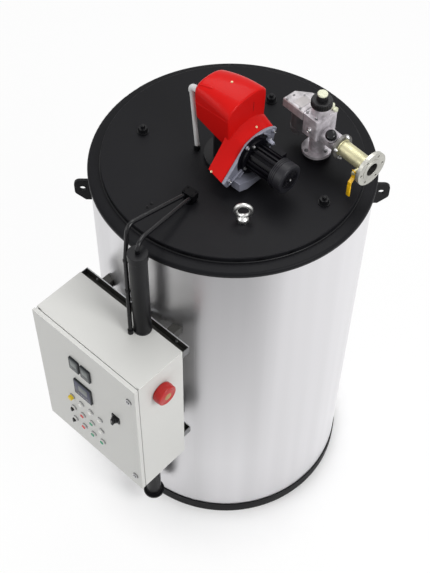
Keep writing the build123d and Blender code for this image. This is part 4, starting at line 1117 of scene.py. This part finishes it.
def make_sounder_fittings():
    """Rings round the sounder, and the bare disc in its front."""
    rings, disc = blanks(2)
    y, z, r = sounder.middle.y, sounder.middle.z, sounder.size.z / 2
    for x in SOUNDER_RINGS:
        add_ring(rings, along_x(cabinet, sounder.low.x + x * MM, y, z), r, SOUNDER_BAR)
    face = at(along_x(cabinet, sounder.high.x, y, z), z=-SOUNDER_SINK)
    for share, bar in SOUNDER_FRONT_RINGS:
        add_ring(rings, face, r * share, bar * MM)
    finish_piece("sounder_rings", rings, "sounder_red")
    add_rod(disc, face, r * SOUNDER_DISC, 1.2 * MM, edge=FINE_EDGE)
    finish_piece("sounder_disc", disc, "label_buff")


RAIL_BOLT_INSET, RAIL_BOLT_START, RAIL_BOLT_SINK = mm(66, 8, 0.3)
RAIL_EDGE, RAIL_EDGE_OUT, RAIL_EDGE_DEEP = mm(2, 0.6, 4)
END_IN, END_OUT, END_FOOT, END_HEAD, END_GAP = mm(2, 0.8, 3, 1, 2)


def make_rail_fittings():
    """Bolts through the rails behind the cabinet, a pale galvanised strip along each top edge beside the
    rails' painted shade, and end plates.
    """
    bolts, edges, ends = blanks(3)
    way = cabinet.to_3x3() @ Vector((0, 1, 0))
    for rail in islands("cabinet_rails"):
        low, high = rail.low, rail.high
        web_y = None
        for x in (rails.low.x + RAIL_BOLT_INSET, rails.high.x - RAIL_BOLT_INSET):
            start = cabinet @ Vector((x, shell.high.y + RAIL_BOLT_START, rail.middle.z))
            point = surface("cabinet_rails").ray_cast(start, way)[0]
            if point:
                seat_point = point + way * RAIL_BOLT_SINK
                add_hex_bolt(bolts, place_at(seat_point, UP, -way), r=6 * MM, head=7 * MM)
                web_y = (cabinet.inverted() @ point).y
        if web_y is None:
            continue
        ys = (web_y - RAIL_EDGE_OUT, web_y + RAIL_EDGE_DEEP)
        add_bar(edges, (low.x, high.x), ys, (high.z - RAIL_EDGE, high.z + RAIL_EDGE_OUT), 0.3 * MM)
        ys = (shell.high.y + END_GAP, web_y + END_GAP)
        for xs in ((low.x - END_OUT, low.x + END_IN), (high.x - END_IN, high.x + END_OUT)):
            add_bar(ends, xs, ys, (low.z + END_FOOT, high.z - END_HEAD), FINE_EDGE)
    finish_piece("rail_bolts", bolts, "dark_steel")
    finish_piece("rail_edges", edges, "galvanised")
    finish_piece("rail_ends", ends, "dark_steel")


make_body_lip()
make_controller_fronts()
make_pilot_rings()
make_device_collars()
make_lock_faces()
make_selector_mark()
make_sounder_fittings()
make_rail_fittings()


# Cable riser: foot ring, conduit clips, nut and cover screws

riser, gland, fitting = reach(WORLD, "cable_riser", "conduit_gland", "conduit_fitting")
CLIP_PIXELS = ((125.5, 291.0), (125.8, 262.0))
CLIP_WAY = Vector((0.1, -0.1, -1))
CLIP_PROFILE = [mm(8.6, 0), mm(11, 0.5), mm(11, 11.5), mm(8.6, 12)]
CLIP_SINK, CLIP_BACK = mm(9, 6)
FOOT_IN, FOOT_OUT, FOOT_STEP, FOOT_TALL = mm(0.3, 2.4, 8, 10)
FITTING_TURN = math.radians(54)
FITTING_SCREW_X, FITTING_SCREW_Y = mm(12, 20)


def make_riser_fittings():
    """The riser's foot ring, and the clips, nut and cover screws on the conduits."""
    foot, clips, screws = blanks(3)
    r = riser.size.x / 2
    profile = [(r - FOOT_IN, 0), (r + FOOT_OUT, 0), (r + FOOT_OUT, FOOT_STEP), (r - FOOT_IN, FOOT_TALL)]
    add_turned(foot, at(WORLD, riser.middle.x, riser.middle.y, riser.low.z), profile, turns=64)
    finish_piece("riser_foot", foot, "black_steel")

    for pixel in CLIP_PIXELS:
        point, normal = seen_at("conduit_left", pixel)
        if point:
            place = place_at(point - normal * CLIP_SINK, CLIP_WAY.orthogonal(), CLIP_WAY)
            add_turned(clips, at(place, z=-CLIP_BACK), CLIP_PROFILE, turns=32)
    nut = at(WORLD, gland.middle.x, gland.middle.y, gland.low.z + 4 * MM)
    add_rod(clips, nut, gland.size.x / 2 + 0.8 * MM, length=9 * MM, sides=6, edge=0.6 * MM)
    finish_piece("conduit_clips", clips, "black_plastic")

    cover = at(WORLD, fitting.middle.x, fitting.middle.y, fitting.high.z)
    cover = cover @ Matrix.Rotation(FITTING_TURN, 4, "Z")
    for x in (-FITTING_SCREW_X, FITTING_SCREW_X):
        for y in (-FITTING_SCREW_Y, FITTING_SCREW_Y):
            add_socket_bolt(screws, at(cover, x, y, -0.3 * MM), r=3.2 * MM, head=2.6 * MM)
    finish_piece("fitting_screws", screws, "fitting_black")


# Rear connections: beads and raised faces

NOZZLE_FACE = [mm(27, -0.3), mm(27, 2), mm(49, 2), mm(50, 1.4), mm(50, -0.3)]
NOZZLE_BEADS = (mm(20, 31, 4), mm(118, 31.5, 4.5))
OUTLET_BEADS = ((*mm(1, 101, 2.4), 10), (*mm(26, 101.6, 2), 8))


def make_rear_fittings():
    """Weld beads and raised faces on the two nozzles, and the rolled beads on the smoke outlet."""
    faces, beads, rolls = blanks(3)
    for name in ("flow_bolts", "return_bolts"):
        face = place_at(mounts[name]["pos_m"], UP, mounts[name]["axis"])
        add_turned(faces, face, NOZZLE_FACE, turns=64)
        for back, r, bar in NOZZLE_BEADS:
            add_ring(beads, at(face, z=-back), r, bar, turns=48)
    finish_piece("nozzle_faces", faces, "flange_steel")
    finish_piece("nozzle_beads", beads, "black_steel")
    outlet = place_at(mounts["smoke_outlet"]["pos_m"], UP, mounts["smoke_outlet"]["axis"])
    [pipe] = reach(WORLD, "smoke_outlet")
    end = pipe.high.y - outlet.translation.y
    for back, r, bar, sides in OUTLET_BEADS:
        add_ring(rolls, at(outlet, z=end - back), r, bar, turns=96, sides=sides)
    finish_piece("outlet_beads", rolls, "outlet_steel")


make_riser_fittings()
make_rear_fittings()


# Light and stage

FLOOR_SIZE = 60
FLOOR_GLOW = 0.9
FLOOR_COLOUR, FLOOR_ROUGH = (0.95, 0.95, 0.95, 1), 0.9
# The floor's glow fades towards this middle: painted shade round the object's base
SHADE_MIDDLE = (0.0, -0.04, 0)
SHADE_NEAR, SHADE_FAR = 0.58, 0.92
WORLD_STRENGTH = 0.5
# Each light's place, what it is aimed at, its size and its power
LIGHTS = {
    "key": ((3.4, -3.4, 5.4), (0, 0, 1.3), (2.4, 2.4), 210),
    "fill": ((-4.4, -2.0, 4.2), (0, 0, 1.2), (2.0, 3.0), 60),
    "top": ((0.3, 1.6, 5.8), (0, 0, 2.0), (2.6, 2.6), 90),
}


def seen_white(tree):
    """1 for rays from the camera, from a glossy surface and through a clear one, else 0."""
    path = add_node(tree, "LightPath").outputs
    seen = path["Is Camera Ray"]
    for other in ("Is Glossy Ray", "Is Transmission Ray"):
        seen = add_node(tree, "Math", seen, path[other], operation="MAXIMUM").outputs["Value"]
    return seen


def make_floor():
    """Pale floor, white to the camera far off; near the object its glow fades, which paints a soft shade
    round the base over the real shadows.
    """
    bm = bmesh.new()
    bmesh.ops.create_grid(bm, x_segments=1, y_segments=1, size=FLOOR_SIZE)
    mesh = to_mesh("floor", bm)
    material = bpy.data.materials.new("floor_white")
    material.use_nodes = True
    mesh.materials.append(material)
    tree = material.node_tree
    paint, glow = tree.nodes["Principled BSDF"], add_node(tree, "Emission")
    paint.inputs["Base Color"].default_value = FLOOR_COLOUR
    paint.inputs["Roughness"].default_value = FLOOR_ROUGH
    coords = add_node(tree, "TexCoord").outputs["Object"]
    away = add_node(tree, "VectorMath", coords, SHADE_MIDDLE, operation="DISTANCE")
    ramp = add_node(
        tree, "MapRange", interpolation_type="SMOOTHSTEP", Value=away.outputs["Value"],
        From_Min=SHADE_NEAR, From_Max=SHADE_FAR, To_Max=FLOOR_GLOW,
    )
    share = add_node(tree, "Math", seen_white(tree), ramp.outputs["Result"], operation="MULTIPLY")
    mix = add_node(
        tree, "MixShader", share.outputs["Value"], paint.outputs["BSDF"], glow.outputs["Emission"]
    )
    tree.links.new(mix.outputs["Shader"], tree.nodes["Material Output"].inputs["Surface"])
    floor = add_object("floor", mesh)


def make_world():
    """Even pale surroundings, white to the camera."""
    world = bpy.data.worlds.new("studio")
    world.use_nodes = True
    bpy.context.scene.world = world
    tree = world.node_tree
    background = tree.nodes["Background"].inputs
    background["Color"].default_value = (1, 1, 1, 1)
    strength = add_node(tree, "MapRange", Value=seen_white(tree), To_Min=WORLD_STRENGTH, To_Max=1.0)
    tree.links.new(strength.outputs["Result"], background["Strength"])


def add_light(name, place, target, size, power):
    """Soft rectangular studio light aimed at a point."""
    data = bpy.data.lights.new(name, "AREA")
    data.shape = "RECTANGLE"
    data.size, data.size_y = size
    data.energy = power
    turn = (Vector(target) - Vector(place)).to_track_quat("-Z", "Y").to_matrix().to_4x4()
    add_object(name, data).matrix_world = Matrix.Translation(place) @ turn


make_floor()
make_world()
for name, settings in LIGHTS.items():
    add_light(name, *settings)
bpy.context.scene.view_settings.view_transform = "Standard"
